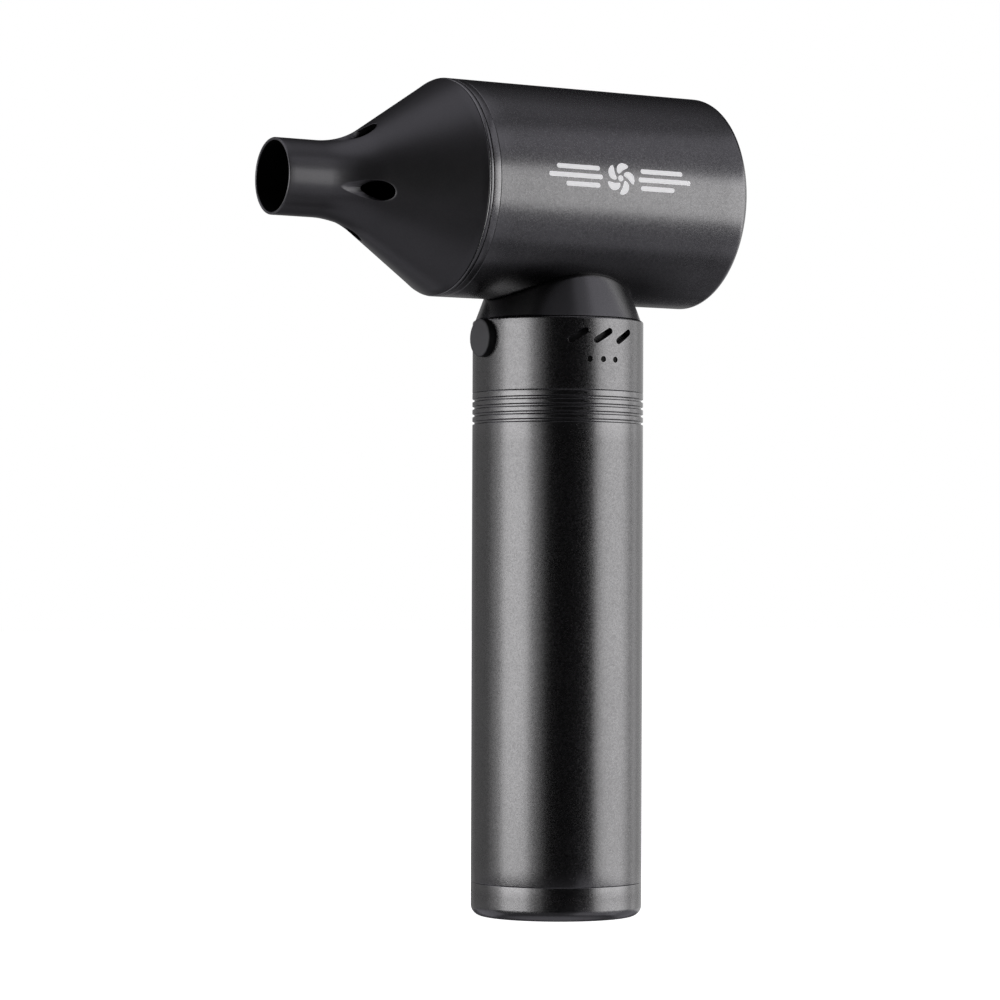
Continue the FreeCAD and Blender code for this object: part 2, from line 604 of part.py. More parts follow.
def make_motor():
    seat_r = 13.0
    shoulder_x = 2.5
    hub = head_tube(MOTOR_X[0], shoulder_x, seat_r, CORE_R)
    hub = hub.fuse(head_tube(shoulder_x, MOTOR_X[1], HUB_R, CORE_R)).removeSplitter()
    hub = hub.cut(rod(Vector(LEAD_X, 0, HEAD_AXIS_Z - HUB_R - 1), ALONG_Z, 4, 3.4))
    keep("motor_hub", hub)

    band = head_tube(MOTOR_X[0], shoulder_x, HUB_R, seat_r)
    vane = blade(((HUB_R - 0.6, -24), (19.5, -18), (26.0, -14)), 15.0, -5.5, -1.6, 1.4)
    vane = vane.common(head_tube(-20, 20, DUCT_R, HUB_R - 0.6))
    keep("stator_vanes", band.fuse(turn_copies(vane, 11, HEAD_CENTRE, ALONG_X)).removeSplitter())

    yoke = head_tube(CORE_X[0], CORE_X[1], CORE_R, 9.6)
    tooth = box((CORE_X[0], -TOOTH_WIDTH / 2, HEAD_AXIS_Z + 3),
                (CORE_X[1], TOOTH_WIDTH / 2, HEAD_AXIS_Z + 10.5))
    shoe = head_tube(CORE_X[0], CORE_X[1], 6.6, 3.0).common(
        box((CORE_X[0], -2.4, HEAD_AXIS_Z), (CORE_X[1], 2.4, HEAD_AXIS_Z + 10)))
    teeth = turn_copies(tooth.fuse(shoe), TOOTH_COUNT, HEAD_CENTRE, ALONG_X)
    core = yoke.fuse(teeth).cut(head_rod(CORE_X[0] - 1, CORE_X[1] + 1, ROTOR_GAP_R)).removeSplitter()
    keep("motor_core", core)

    turns = 1.2
    wrap = (CORE_X[0] - turns, CORE_X[1] + turns)
    low_z = HEAD_AXIS_Z + 6.7
    coil = box((wrap[0], -TOOTH_WIDTH / 2 - turns, low_z), (wrap[1], TOOTH_WIDTH / 2 + turns, low_z + 2.5))
    coil = coil.cut(box((CORE_X[0], -TOOTH_WIDTH / 2, low_z - 1), (CORE_X[1], TOOTH_WIDTH / 2, low_z + 4)))
    keep("motor_windings", *turn_copies(coil, TOOTH_COUNT, HEAD_CENTRE, ALONG_X))

    bells = []
    for x, bore_x in ((MOTOR_X[0] + 0.8, BEARING_X[0]), (BEARING_X[1] - 0.6, BEARING_X[1])):
        bell = head_rod(x, x + 4, CORE_R).cut(head_rod(bore_x, bore_x + BEARING_WIDTH, BEARING_R))
        bell = bell.cut(head_rod(x - 1, x + 6, BALL_TRACK_R + 0.6))
        vent = rod(Vector(x - 1, 0, HEAD_AXIS_Z + 8), ALONG_X, 6, 2.0)
        bells.append(bell.cut(turn_copies(vent, 6, HEAD_CENTRE, ALONG_X)))
    keep("motor_end_bells", *bells)

    cone_x = (MOTOR_X[1], 36.0)
    wall = 1.5
    keep("tail_cone", turned_head(
        head(cone_x[0], HUB_R), (head(27.5, 9.2), head(cone_x[1] - 1.5, 3.0)),
        (head(cone_x[1] - 0.4, 2.1), head(cone_x[1], 1.0)), head(cone_x[1], 0), head(cone_x[1] - 3, 0),
        head(cone_x[1] - 3, 1.6), (head(26.5, 8.0), head(cone_x[0], HUB_R - wall))))

    routes = []
    for step in (-1, 0, 1):
        y = step * LEAD_STEP
        route = [Vector(3, y, BOARD_Z), Vector(3, y, 162), Vector(LEAD_X, y, 171),
                 Vector(LEAD_X, y, HEAD_AXIS_Z - CORE_R - 0.3)]
        routes.append(lead(route, LEAD_R))
    keep("motor_leads", *routes)


# ---- nozzle ----
def cone_into_tube(slope_x, slope_r, tube_r, arc_r):
    """Where a cone's line through a point meets a tube's line by a tangent arc: start, arc, end."""
    slope = math.radians(CONE_DEG)
    corner_x = slope_x + (slope_r - tube_r) / math.tan(slope)
    reach = arc_r * math.tan(slope / 2)
    start = head(corner_x - reach * math.cos(slope), tube_r + reach * math.sin(slope))
    centre = head(corner_x + reach, tube_r + arc_r)
    return start, bend(centre, arc_r, 270 - CONE_DEG, 270)


def make_nozzle():
    rim_x = 39.8
    rim_r = 29.85
    cone_wall = 1.6
    spigot_bore_r = 24.4
    spigot_r = COLLAR_BORE_R - FIT_GAP
    slope = math.radians(CONE_DEG)
    lip_r = (NOZZLE_TIP_R - NOZZLE_BORE_R) / 2
    outer_start, outer_arc = cone_into_tube(rim_x, rim_r, NOZZLE_TIP_R, 27.0)
    inner_rim_r = rim_r - cone_wall / math.cos(slope)
    inner_start, inner_arc = cone_into_tube(rim_x, inner_rim_r, NOZZLE_BORE_R, 29.0)
    inner_x = rim_x + (inner_rim_r - spigot_bore_r) / math.tan(slope)
    lip = bend(head(NOZZLE_TIP_X - lip_r, NOZZLE_TIP_R - lip_r), lip_r, 90, -90)
    nozzle = turned_head(
        head(rim_x, rim_r - 0.3), head(rim_x + 0.2, rim_r - 0.2 * math.tan(slope)),
        outer_start, outer_arc, head(NOZZLE_TIP_X - lip_r, NOZZLE_TIP_R), lip,
        inner_arc[1], (inner_arc[0], inner_start), head(inner_x, spigot_bore_r),
        head(SPIGOT_X, spigot_bore_r), head(SPIGOT_X, spigot_r - 0.3), head(SPIGOT_X + 0.3, spigot_r),
        head(rim_x, spigot_r))
    jet_r = 2.75
    jet_ring_r = 13.4
    clocking_deg = -15.5
    for index in range(4):
        turn = math.radians(clocking_deg + 90 * index)
        start = Vector(50, jet_ring_r * math.cos(turn), HEAD_AXIS_Z + jet_ring_r * math.sin(turn))
        nozzle = nozzle.cut(rod(start, ALONG_X, 30, jet_r))
    keep("nozzle", nozzle)


def main():
    make_base()
    make_battery()
    make_control_housing()
    make_controls()
    make_neck()
    make_head_casing()
    make_fan()
    make_bearings()
    make_motor()
    make_nozzle()
    os.makedirs("parts", exist_ok=True)
    for name, shape in PARTS.items():
        shape.exportStep(os.path.join("parts", name + ".step"))
        print(name, len(shape.Solids), "solids, valid", shape.isValid(), round(shape.Volume), "mm3")


main()
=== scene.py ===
import json

import bmesh
import bpy
import numpy as np
from bpy.props import FloatProperty, FloatVectorProperty, IntProperty, PointerProperty
from mathutils import Matrix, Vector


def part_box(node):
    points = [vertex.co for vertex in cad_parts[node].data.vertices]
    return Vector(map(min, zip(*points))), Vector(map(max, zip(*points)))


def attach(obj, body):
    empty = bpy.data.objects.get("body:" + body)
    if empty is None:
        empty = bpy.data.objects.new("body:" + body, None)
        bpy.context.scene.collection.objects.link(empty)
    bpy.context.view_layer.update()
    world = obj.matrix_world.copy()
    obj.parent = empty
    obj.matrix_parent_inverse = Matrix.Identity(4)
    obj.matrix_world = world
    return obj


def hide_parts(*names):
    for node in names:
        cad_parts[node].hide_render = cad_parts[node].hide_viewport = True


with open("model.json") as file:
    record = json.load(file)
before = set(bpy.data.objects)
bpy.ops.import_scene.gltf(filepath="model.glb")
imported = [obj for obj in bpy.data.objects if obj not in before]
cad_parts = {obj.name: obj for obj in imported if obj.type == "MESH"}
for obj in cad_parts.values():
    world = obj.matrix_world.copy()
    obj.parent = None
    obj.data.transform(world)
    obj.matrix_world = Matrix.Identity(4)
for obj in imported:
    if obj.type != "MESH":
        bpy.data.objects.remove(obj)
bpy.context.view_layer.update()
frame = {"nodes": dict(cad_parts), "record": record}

bl_info = {
    "name": "Jet Blower Finish",
    "version": (1, 0, 0),
    "blender": (4, 5, 0),
    "location": "3D View > Sidebar > Jet Blower",
    "description": "Metal casing, nozzle, controls and studio for a hand-held car dryer blower",
    "category": "Object",
}

MM = 0.001
LATHE_STEPS = 288


# ---- sizes read from the frame ----
def low_high(node, axis):
    """The lowest and the highest coordinate of a CAD node along one axis."""
    low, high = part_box(node)
    return low[axis], high[axis]


HEAD_X = low_high("head_shell", 0)
HEAD_R = low_high("head_shell", 1)[1]
HEAD_Z = sum(low_high("head_shell", 2)) / 2
COLLAR_X = (HEAD_X[1], low_high("front_collar", 0)[1])
NOZZLE_X = low_high("nozzle", 0)
GRIP_R = low_high("battery_tube", 1)[1]
FOOT_SEAM_Z, GRIP_SEAM_Z = low_high("battery_tube", 2)
HOUSING_TOP_Z = low_high("control_housing", 2)[1]
NECK_FOOT_R = low_high("neck", 1)[1]
NECK_LEAN_DEG = 20.5
BUTTON_X = low_high("power_button", 0)
BUTTON_Z = sum(low_high("power_button", 2)) / 2
BUTTON_R = low_high("power_button", 2)[1] - BUTTON_Z
BUTTON_TAB_Y = low_high("power_button", 1)[1]
BUTTON_TAB_UP = 2 * MM
SCREEN_Z = sum(low_high("vent_screen", 2)) / 2
DOT_Z = sum(low_high("indicator_lenses", 2)) / 2
INLET_Z = sum(low_high("charge_socket", 2)) / 2
CASING_WALL = 2 * MM


# ---- properties ----
class BlowerSizes(bpy.types.PropertyGroup):
    edge_round: FloatProperty(
        name="Edge rounding", description="Radius on the metal casing's edges",
        default=0.22 * MM, min=0.05 * MM, max=0.6 * MM, unit="LENGTH", precision=5)
    groove_depth: FloatProperty(
        name="Grip groove depth", description="Depth of the four grooves round the handle",
        default=0.55 * MM, min=0.1 * MM, max=1.0 * MM, unit="LENGTH", precision=5)
    groove_width: FloatProperty(
        name="Grip groove width", description="Width of each groove",
        default=0.95 * MM, min=0.3 * MM, max=1.6 * MM, unit="LENGTH", precision=5)
    groove_step: FloatProperty(
        name="Grip groove step", description="Distance from one groove to the next",
        default=2.1 * MM, min=1.2 * MM, max=4 * MM, unit="LENGTH", precision=5)
    groove_count: IntProperty(
        name="Grip grooves", description="Number of grooves below the handle's upper seam",
        default=4, min=0, max=8)
    mark_height: FloatProperty(
        name="Mark height", description="Height of the printed air-flow mark",
        default=8.5 * MM, min=2 * MM, max=14 * MM, unit="LENGTH", precision=5)


class BlowerColours(bpy.types.PropertyGroup):
    casing: FloatVectorProperty(
        name="Casing", description="Anodised colour of the head and the handle",
        subtype="COLOR", size=3, min=0, max=1, default=(0.150, 0.149, 0.151))
    nozzle: FloatVectorProperty(
        name="Nozzle", description="Satin black of the nozzle",
        subtype="COLOR", size=3, min=0, max=1, default=(0.102, 0.101, 0.105))
    neck: FloatVectorProperty(
        name="Neck", description="Satin grey of the neck between the head and the handle",
        subtype="COLOR", size=3, min=0, max=1, default=(0.180, 0.179, 0.182))
    button: FloatVectorProperty(
        name="Button", description="Plastic of the power button",
        subtype="COLOR", size=3, min=0, max=1, default=(0.082, 0.082, 0.086))
    mark: FloatVectorProperty(
        name="Mark", description="Ink of the printed mark",
        subtype="COLOR", size=3, min=0, max=1, default=(0.86, 0.86, 0.87))
    floor: FloatVectorProperty(
        name="Floor", description="Colour of the studio floor",
        subtype="COLOR", size=3, min=0, max=1, default=(0.92, 0.92, 0.92))


# ---- shader maths ----
class Value:
    """A number inside a material. Arithmetic on it adds Math nodes."""

    def __init__(self, tree, socket):
        self.tree = tree
        self.socket = socket

    def math(self, operation, *others, clamp=False):
        node = self.tree.nodes.new("ShaderNodeMath")
        node.operation = operation
        node.use_clamp = clamp
        for place, item in enumerate((self,) + others):
            plug(self.tree, item, node.inputs[place])
        return Value(self.tree, node.outputs[0])

    def flipped(self, operation, first):
        node = self.tree.nodes.new("ShaderNodeMath")
        node.operation = operation
        plug(self.tree, first, node.inputs[0])
        plug(self.tree, self, node.inputs[1])
        return Value(self.tree, node.outputs[0])

    def __add__(self, other):
        return self.math("ADD", other)

    __radd__ = __add__

    def __sub__(self, other):
        return self.math("SUBTRACT", other)

    def __rsub__(self, other):
        return self.flipped("SUBTRACT", other)

    def __mul__(self, other):
        return self.math("MULTIPLY", other)

    __rmul__ = __mul__

    def __truediv__(self, other):
        return self.math("DIVIDE", other)

    def clamped(self):
        return self.math("ADD", 0.0, clamp=True)

    def power(self, other):
        return self.math("POWER", other)

    def above(self, edge, soft):
        """0 below an edge and 1 above it, over a soft width."""
        return ((self - (edge - soft / 2)) / soft).clamped()


def plug(tree, item, socket):
    """Links a value to a socket, or sets the socket to a plain number or colour."""
    if isinstance(item, Value):
        tree.links.new(item.socket, socket)
    elif hasattr(socket.default_value, "__len__") and len(socket.default_value) == 4 and len(item) == 3:
        socket.default_value = (*item, 1.0)
    else:
        socket.default_value = item


class Finish:
    """A new material with one Principled shader, and the means to build its patterns."""

    def __init__(self, name, **constants):
        self.material = bpy.data.materials.new(name)
        self.material.use_nodes = True
        self.tree = self.material.node_tree
        self.shader = self.tree.nodes["Principled BSDF"]
        self.set(**constants)

    def set(self, **inputs):
        """Sets the shader's sockets: Base_Color stands for Base Color."""
        for name, item in inputs.items():
            plug(self.tree, item, self.shader.inputs[name.replace("_", " ")])

    def node(self, kind, settings=None, inputs=None, output=0):
        """Adds a node, makes its settings, then fills its sockets, and returns one output."""
        node = self.tree.nodes.new("ShaderNode" + kind)
        for name, item in (settings or {}).items():
            setattr(node, name, item)
        for name, item in (inputs or {}).items():
            plug(self.tree, item, node.inputs[name])
        return Value(self.tree, node.outputs[output])

    def place(self):
        return self.node("TexCoord", output=3)

    def attribute(self, name):
        return self.node("Attribute", {"attribute_name": name}, output=2)

    def noise(self, scale, detail=2.0, roughness=0.5, at=None):
        return self.node("TexNoise", {"noise_dimensions": "3D"}, {
            "Vector": at or self.place(), "Scale": scale, "Detail": detail, "Roughness": roughness})

    def grain(self, scale, at=None):
        """A random level for each small cell, as the facets of a blasted surface have."""
        colour = self.node("TexVoronoi", {"feature": "F1"},
                           {"Vector": at or self.place(), "Scale": scale}, output=1)
        return self.node("SeparateColor", inputs={"Color": colour})

    def bands(self, scale, **inputs):
        """Even bands across the X axis."""
        return self.node("TexWave", {"bands_direction": "X"},
                         {"Vector": self.place(), "Scale": scale, **inputs}, output=1)

    def axis_part(self, axis):
        return self.node("SeparateXYZ", inputs={"Vector": self.place()}, output=axis)

    def stretched(self, scale):
        """Object coordinates stretched by three factors."""
        return self.node("Mapping", {"vector_type": "POINT"}, {"Vector": self.place(), "Scale": scale})

    def tint(self, first, second, factor):
        """A colour that runs from one to another."""
        node = self.tree.nodes.new("ShaderNodeMix")
        node.data_type = "RGBA"
        plug(self.tree, factor, node.inputs[0])
        plug(self.tree, first, node.inputs[6])
        plug(self.tree, second, node.inputs[7])
        return Value(self.tree, node.outputs[2])

    def bump(self, height, distance, strength):
        self.set(Normal=self.node("Bump", inputs={
            "Height": height, "Distance": distance, "Strength": strength}))

    def dressed(self, low, high, mix, roughness, relief):
        """Sets a colour between two tones, the gloss, and the relief (height, distance, strength)."""
        self.set(Base_Color=self.tint(low, high, mix), Roughness=roughness)
        self.bump(*relief)
        return self.material


def scaled(colour, factor):
    return tuple(min(1.0, part * factor) for part in colour)


def colours():
    return bpy.context.scene.blower_colours


def sizes():
    return bpy.context.scene.blower_sizes


# ---- finishes ----
def blasted_anodising():
    """Bead-blasted aluminium, anodised gunmetal: a fine sparkling grain over slow soft variation.
    It is darkened on the head's underside around the neck, to stand in for the photo's deep shade."""
    base = tuple(colours().casing)
    finish = Finish("blasted_anodising", Metallic=1.0)
    grain = finish.grain(3400.0)
    coarse = finish.noise(1500.0, detail=3.0, roughness=0.7)
    cloud = finish.noise(45.0, detail=3.0, roughness=0.6)
    level = (grain * 0.5 + coarse * 0.6 + cloud * 0.25) - 0.2
    tone = finish.tint(scaled(base, 0.66), scaled(base, 1.42), level.clamped())
    # Painted highlight: the edge attribute lifts the colour towards a pale tone along edges.
    edge_highlight = (finish.attribute("edge") * (cloud * 0.8 + 0.45)).clamped()
    x, y, z = (finish.axis_part(axis) for axis in range(3))
    reach = (x * x + y * y).power(0.5)
    head_underside = z.above(HOUSING_TOP_Z + 1 * MM, 1 * MM) - z.above(HEAD_Z - 21 * MM, 10 * MM)
    # Painted shade: on the head's underside around the neck, the colour darkens towards a tenth of the
    # casing's tone.
    painted_shade = (head_underside * (1 - reach.above(31 * MM, 14 * MM))).clamped()
    shaded_tone = finish.tint(tone, scaled(base, 0.1), painted_shade * (cloud * 0.2 + 0.8))
    return finish.dressed(shaded_tone, scaled(base, 2.1), edge_highlight * 0.55,
                          0.20 + coarse * 0.08 + grain * 0.04 - edge_highlight * 0.05,
                          (grain * 0.6 + coarse, 0.012 * MM, 0.55))


def satin_anodising(name, base, metallic, roughness):
    """Turned aluminium, anodised satin black, with faint circular tool lines and a fine grain.
    Where the edge attribute is negative, inside the bore, it is painted near black as shade and made matte."""
    finish = Finish(name, Metallic=metallic)
    # Painted shade: inside the bore the colour falls to near black.
    inside = (finish.attribute("edge") * -1.0).clamped()
    lines = finish.noise(1.0, detail=2.0, at=finish.stretched((2600.0, 60.0, 60.0)))
    cloud = finish.noise(60.0, detail=4.0, roughness=0.6)
    grain = finish.noise(2600.0, detail=2.0)
    level = (cloud * 0.5 + grain * 0.5).clamped()
    # Painted highlight: the edge attribute lifts the colour towards a pale tone along edges.
    edge_highlight = (finish.attribute("edge") * (cloud * 0.7 + 0.4)).clamped()
    tone = finish.tint(scaled(base, 0.72), scaled(base, 1.3), level)
    bright = finish.tint(tone, scaled(base, 2.2), edge_highlight * 0.5)
    return finish.dressed(bright, scaled(base, 0.03), inside,
                          roughness + cloud * 0.06 + grain * 0.04 + inside * 0.3,
                          (lines * 0.5 + grain * 0.5, 0.006 * MM, 0.5))


def button_plastic():
    """Matte moulded plastic: a grey face with a fine texture; the colour falls to near black on the side
    wall.
    """
    base = tuple(colours().button)
    finish = Finish("button_plastic", Specular_IOR_Level=0.3)
    texture = finish.noise(1900.0, detail=3.0, roughness=0.6)
    cloud = finish.noise(180.0, detail=3.0)
    face = finish.axis_part(0).above(BUTTON_X[1] - 0.5 * MM, 0.25 * MM)
    tone = finish.tint(scaled(base, 0.85), scaled(base, 1.2), (texture * 0.6 + cloud * 0.4).clamped())
    return finish.dressed(scaled(base, 0.05), tone, face,
                          0.62 + texture * 0.1 - face * 0.14, (texture, 0.012 * MM, 0.6))


def printed_ink():
    """Pale ink, faintly speckled. A weak emission lifts it to the photo's brightness."""
    base = tuple(colours().mark)
    # Painted light: a weak white emission makes the ink glow.
    finish = Finish("printed_ink", Emission_Color=(1, 1, 1), Emission_Strength=0.3)
    fleck, cloud = finish.noise(2200.0), finish.noise(90.0)
    return finish.dressed(scaled(base, 0.86), scaled(base, 1.08), (fleck * 0.6 + cloud * 0.4).clamped(),
                          0.42 + fleck * 0.12, (fleck, 0.004 * MM, 0.4))


def powder_coat():
    """Black powder coat with an orange-peel skin."""
    finish = Finish("powder_coat", Coat_Roughness=0.3)
    peel, cloud = finish.noise(900.0, detail=1.5), finish.noise(80.0, detail=3.0)
    return finish.dressed((0.016, 0.016, 0.017), (0.034, 0.034, 0.035), cloud,
                          0.42 + peel * 0.12, (peel, 0.02 * MM, 0.7))


def glass_filled_nylon():
    """Black nylon whose short glass fibres show as faint pale streaks."""
    finish = Finish("glass_filled_nylon")
    streak = finish.noise(1.0, detail=3.0, at=finish.stretched((420.0, 2400.0, 2400.0)))
    cloud = finish.noise(120.0)
    return finish.dressed((0.012, 0.012, 0.012), (0.04, 0.04, 0.041), (streak * 0.7 + cloud * 0.3).clamped(),
                          0.48 + streak * 0.15, (streak, 0.015 * MM, 0.5))


def bare_metal(name, low, high, roughness, scale, stretch=(1.0, 1.0, 1.0)):
    """Machined or rolled bare metal with fine scratches along one way."""
    finish = Finish(name, Metallic=1.0)
    along = finish.stretched(tuple(scale * part for part in stretch))
    scratch = finish.noise(1.0, detail=4.0, roughness=0.7, at=along)
    cloud = finish.noise(110.0, detail=3.0)
    return finish.dressed(low, high, (scratch * 0.6 + cloud * 0.4).clamped(),
                          roughness + scratch * 0.12, (scratch, 0.008 * MM, 0.5))


def lamination_stack():
    """Thin varnished steel sheets, seen as fine lines across the motor's axis."""
    finish = Finish("lamination_stack", Metallic=0.8)
    sheet = finish.bands(450.0)
    cloud = finish.noise(200.0, detail=3.0)
    return finish.dressed((0.07, 0.07, 0.08), (0.24, 0.23, 0.24), (sheet * 0.6 + cloud * 0.4).clamped(),
                          0.42 + cloud * 0.15, (sheet, 0.03 * MM, 0.6))


def wound_copper():
    """Enamelled wire laid side by side."""
    finish = Finish("wound_copper", Metallic=1.0)
    wire = finish.bands(700.0, Distortion=0.6)
    cloud = finish.noise(260.0)
    return finish.dressed((0.30, 0.09, 0.03), (0.80, 0.33, 0.13), (wire * 0.6 + cloud * 0.4).clamped(),
                          0.28 + wire * 0.15, (wire, 0.08 * MM, 0.8))


def matte_rubber():
    """Black rubber with a fine skin and a little dust."""
    finish = Finish("matte_rubber", Specular_IOR_Level=0.35)
    skin, dust = finish.noise(1400.0, detail=3.0), finish.noise(60.0, detail=4.0)
    return finish.dressed((0.012, 0.012, 0.012), (0.035, 0.035, 0.034), (skin * 0.4 + dust * 0.6).clamped(),
                          0.62 + skin * 0.2, (skin, 0.03 * MM, 0.6))


def solder_mask():
    """Green solder mask over copper tracks."""
    finish = Finish("solder_mask")
    track = finish.node("TexBrick", {"offset": 0.3}, {
        "Vector": finish.place(), "Scale": 220.0, "Mortar Size": 0.03}, output=1)
    cloud = finish.noise(300.0, detail=3.0)
    return finish.dressed((0.004, 0.035, 0.016), (0.012, 0.09, 0.04), (track * 0.6 + cloud * 0.4).clamped(),
                          0.25 + cloud * 0.1, (track, 0.02 * MM, 0.6))


def cell_sleeve():
    """Blue heat-shrink sleeve with slight waviness."""
    finish = Finish("cell_sleeve", Coat_Weight=0.2)
    wave, fine = finish.noise(160.0, detail=3.0), finish.noise(1400.0)
    return finish.dressed((0.010, 0.06, 0.20), (0.02, 0.12, 0.34), wave,
                          0.26 + fine * 0.12, (wave, 0.08 * MM, 0.5))


def plain_insulation(name, low, high, roughness):
    """Silicone, fibre sheet and small moulded packages: a mottled skin."""
    finish = Finish(name)
    skin, cloud = finish.noise(1100.0, detail=3.0), finish.noise(150.0)
    return finish.dressed(low, high, (skin * 0.5 + cloud * 0.5).clamped(),
                          roughness + skin * 0.15, (skin, 0.012 * MM, 0.5))


def smoked_lens():
    """A dark lamp lens that scatters very little."""
    finish = Finish("smoked_lens", Specular_IOR_Level=0.08)
    haze = finish.noise(900.0)
    finish.set(Base_Color=finish.tint((0.001, 0.001, 0.001), (0.003, 0.003, 0.003), haze),
               Roughness=0.3 + haze * 0.1)
    return finish.material


def slot_finishes():
    """The finish of each of the record's material slots."""
    return {
        "anodised_casing": blasted_anodising(),
        "nozzle_finish": satin_anodising("satin_nozzle", tuple(colours().nozzle), 0.86, 0.28),
        "neck_finish": satin_anodising("satin_neck", tuple(colours().neck), 1.0, 0.20),
        "button_finish": button_plastic(),
        "grille_finish": powder_coat(),
        "duct_plastic": glass_filled_nylon(),
        "fan_metal": bare_metal("fan_metal", (0.26, 0.27, 0.28), (0.52, 0.53, 0.55), 0.26, 2400.0,
                                (0.1, 1, 1)),
        "steel": bare_metal("ground_steel", (0.34, 0.34, 0.35), (0.62, 0.62, 0.63), 0.2, 2600.0, (1, 0.2, 1)),
        "magnet": bare_metal("plated_magnet", (0.30, 0.30, 0.29), (0.46, 0.46, 0.44), 0.22, 900.0),
        "lamination": lamination_stack(),
        "copper": wound_copper(),
        "rubber_black": matte_rubber(),
        "board_green": solder_mask(),
        "chip_black": plain_insulation("chip_package", (0.012, 0.012, 0.013), (0.035, 0.035, 0.037), 0.42),
        "cell_wrap": cell_sleeve(),
        "holder_plastic": plain_insulation("holder_plastic", (0.016, 0.016, 0.016), (0.04, 0.04, 0.04), 0.45),
        "nickel": bare_metal("nickel_strip", (0.45, 0.43, 0.38), (0.70, 0.67, 0.60), 0.24, 1500.0,
                             (0.2, 1, 1)),
        "insulator": plain_insulation("fibre_sheet", (0.55, 0.56, 0.50), (0.74, 0.75, 0.70), 0.6),
        "lead_insulation": plain_insulation("silicone_sleeve", (0.16, 0.008, 0.008), (0.34, 0.02, 0.02), 0.4),
        "smoked_lens": smoked_lens(),
        "led_white": plain_insulation("lamp_resin", (0.55, 0.55, 0.42), (0.8, 0.8, 0.7), 0.3),
    }


FINISHES = {}


def finish_for(slot):
    if not FINISHES:
        FINISHES.update(slot_finishes())
    return FINISHES[slot]


# ---- outlines ----
def rounded(corners, steps=5):
    """A closed outline from corners (along, radius, rounding): each corner becomes an arc that is
    tangent to both of its sides. Returns the points, and for each how much it lies on an edge."""
    points, edges = [], []
    count = len(corners)
    for index, (a, b, rounding) in enumerate(corners):
        here = np.array([a, b])
        before = np.array(corners[index - 1][:2]) - here
        after = np.array(corners[(index + 1) % count][:2]) - here
        lengths = np.linalg.norm(before), np.linalg.norm(after)
        before, after = before / lengths[0], after / lengths[1]
        half = np.arccos(np.clip(before @ after, -1, 1)) / 2
        if rounding <= 0 or half > 1.55:
            points.append(here)
            edges.append(0.0)
            continue
        reach = min(rounding / np.tan(half), 0.49 * min(lengths))
        radius = reach * np.tan(half)
        middle = here + (before + after) / np.linalg.norm(before + after) * radius / np.sin(half)
        start, end = here + before * reach - middle, here + after * reach - middle
        turn = np.arctan2(start[0] * end[1] - start[1] * end[0], start @ end)
        for part in np.linspace(0, 1, steps):
            c, s = np.cos(turn * part), np.sin(turn * part)
            points.append(middle + np.array([c * start[0] - s * start[1], s * start[0] + c * start[1]]))
            edges.append(1.0 - abs(2 * part - 1) * 0.5)
    return np.array(points), np.array(edges)


def densified(points, edges, longest):
    """The closed outline with its long straight sides cut into shorter ones."""
    after = np.roll(points, -1, axis=0)
    cuts = np.maximum(1, np.ceil(np.linalg.norm(after - points, axis=1) / longest).astype(int))
    start = np.repeat(np.arange(len(points)), cuts)
    part = np.concatenate([np.arange(n) / n for n in cuts])[:, None]
    new_edges = np.where(part[:, 0] == 0, edges[start], 0.0)
    return points[start] * (1 - part) + after[start] * part, new_edges


def arc_points(centre, radius, start_deg, end_deg, steps):
    """Points on an arc: the centre plus the radius turned through equal angles."""
    turn = np.radians(np.linspace(start_deg, end_deg, steps))
    return np.stack([centre[0] + radius * np.cos(turn), centre[1] + radius * np.sin(turn)], axis=1)


# ---- meshes ----
def about_head(along, radius, turn):
    """Points at a distance along the head's axis, a radius from it, and a turn up from +Y."""
    return np.stack([along, radius * np.cos(turn), HEAD_Z + radius * np.sin(turn)], axis=-1)


def about_grip(along, radius, turn):
    """Points at a height up the handle, a radius from its axis, and a turn from +X to +Y."""
    return np.stack([radius * np.cos(turn), radius * np.sin(turn), along], axis=-1)


def grid_faces(rows, columns, wrap_rows, wrap_columns):
    """Quads between neighbouring points of a grid, closed on itself where asked."""
    i = np.arange(rows if wrap_rows else rows - 1)
    j = np.arange(columns if wrap_columns else columns - 1)
    i, j = np.meshgrid(i, j, indexing="ij")
    i2, j2 = (i + 1) % rows, (j + 1) % columns
    quads = np.stack([i * columns + j, i2 * columns + j, i2 * columns + j2, i * columns + j2], axis=-1)
    return quads.reshape(-1, 4)


def lathe(points, edges, place, steps=LATHE_STEPS):
    """A closed outline turned about an axis: point (i, j) is outline point i at turn j."""
    turn = np.linspace(0, 2 * np.pi, steps, endpoint=False)[None, :]
    ones = np.ones_like(turn)
    verts = place(points[:, :1] * ones, points[:, 1:] * ones, turn * np.ones((len(points), 1)))
    return verts.reshape(-1, 3), grid_faces(len(points), steps, True, True), np.repeat(edges, steps)


def turned_piece(name, corners, place, steps=5, longest=6 * MM):
    """A piece of the casing made by turning rounded corners about an axis."""
    points, edges = densified(*rounded(corners, steps), longest)
    return make_object(name, lathe(points, edges, place), "housing", "anodised_casing")


def joined(*pieces):
    """Several (points, faces, edge levels) as one."""
    verts, faces, edges, start = [], [], [], 0
    for v, f, e in pieces:
        verts.append(v)
        faces.append(f + start)
        edges.append(e)
        start += len(v)
    return np.concatenate(verts), np.concatenate(faces), np.concatenate(edges)


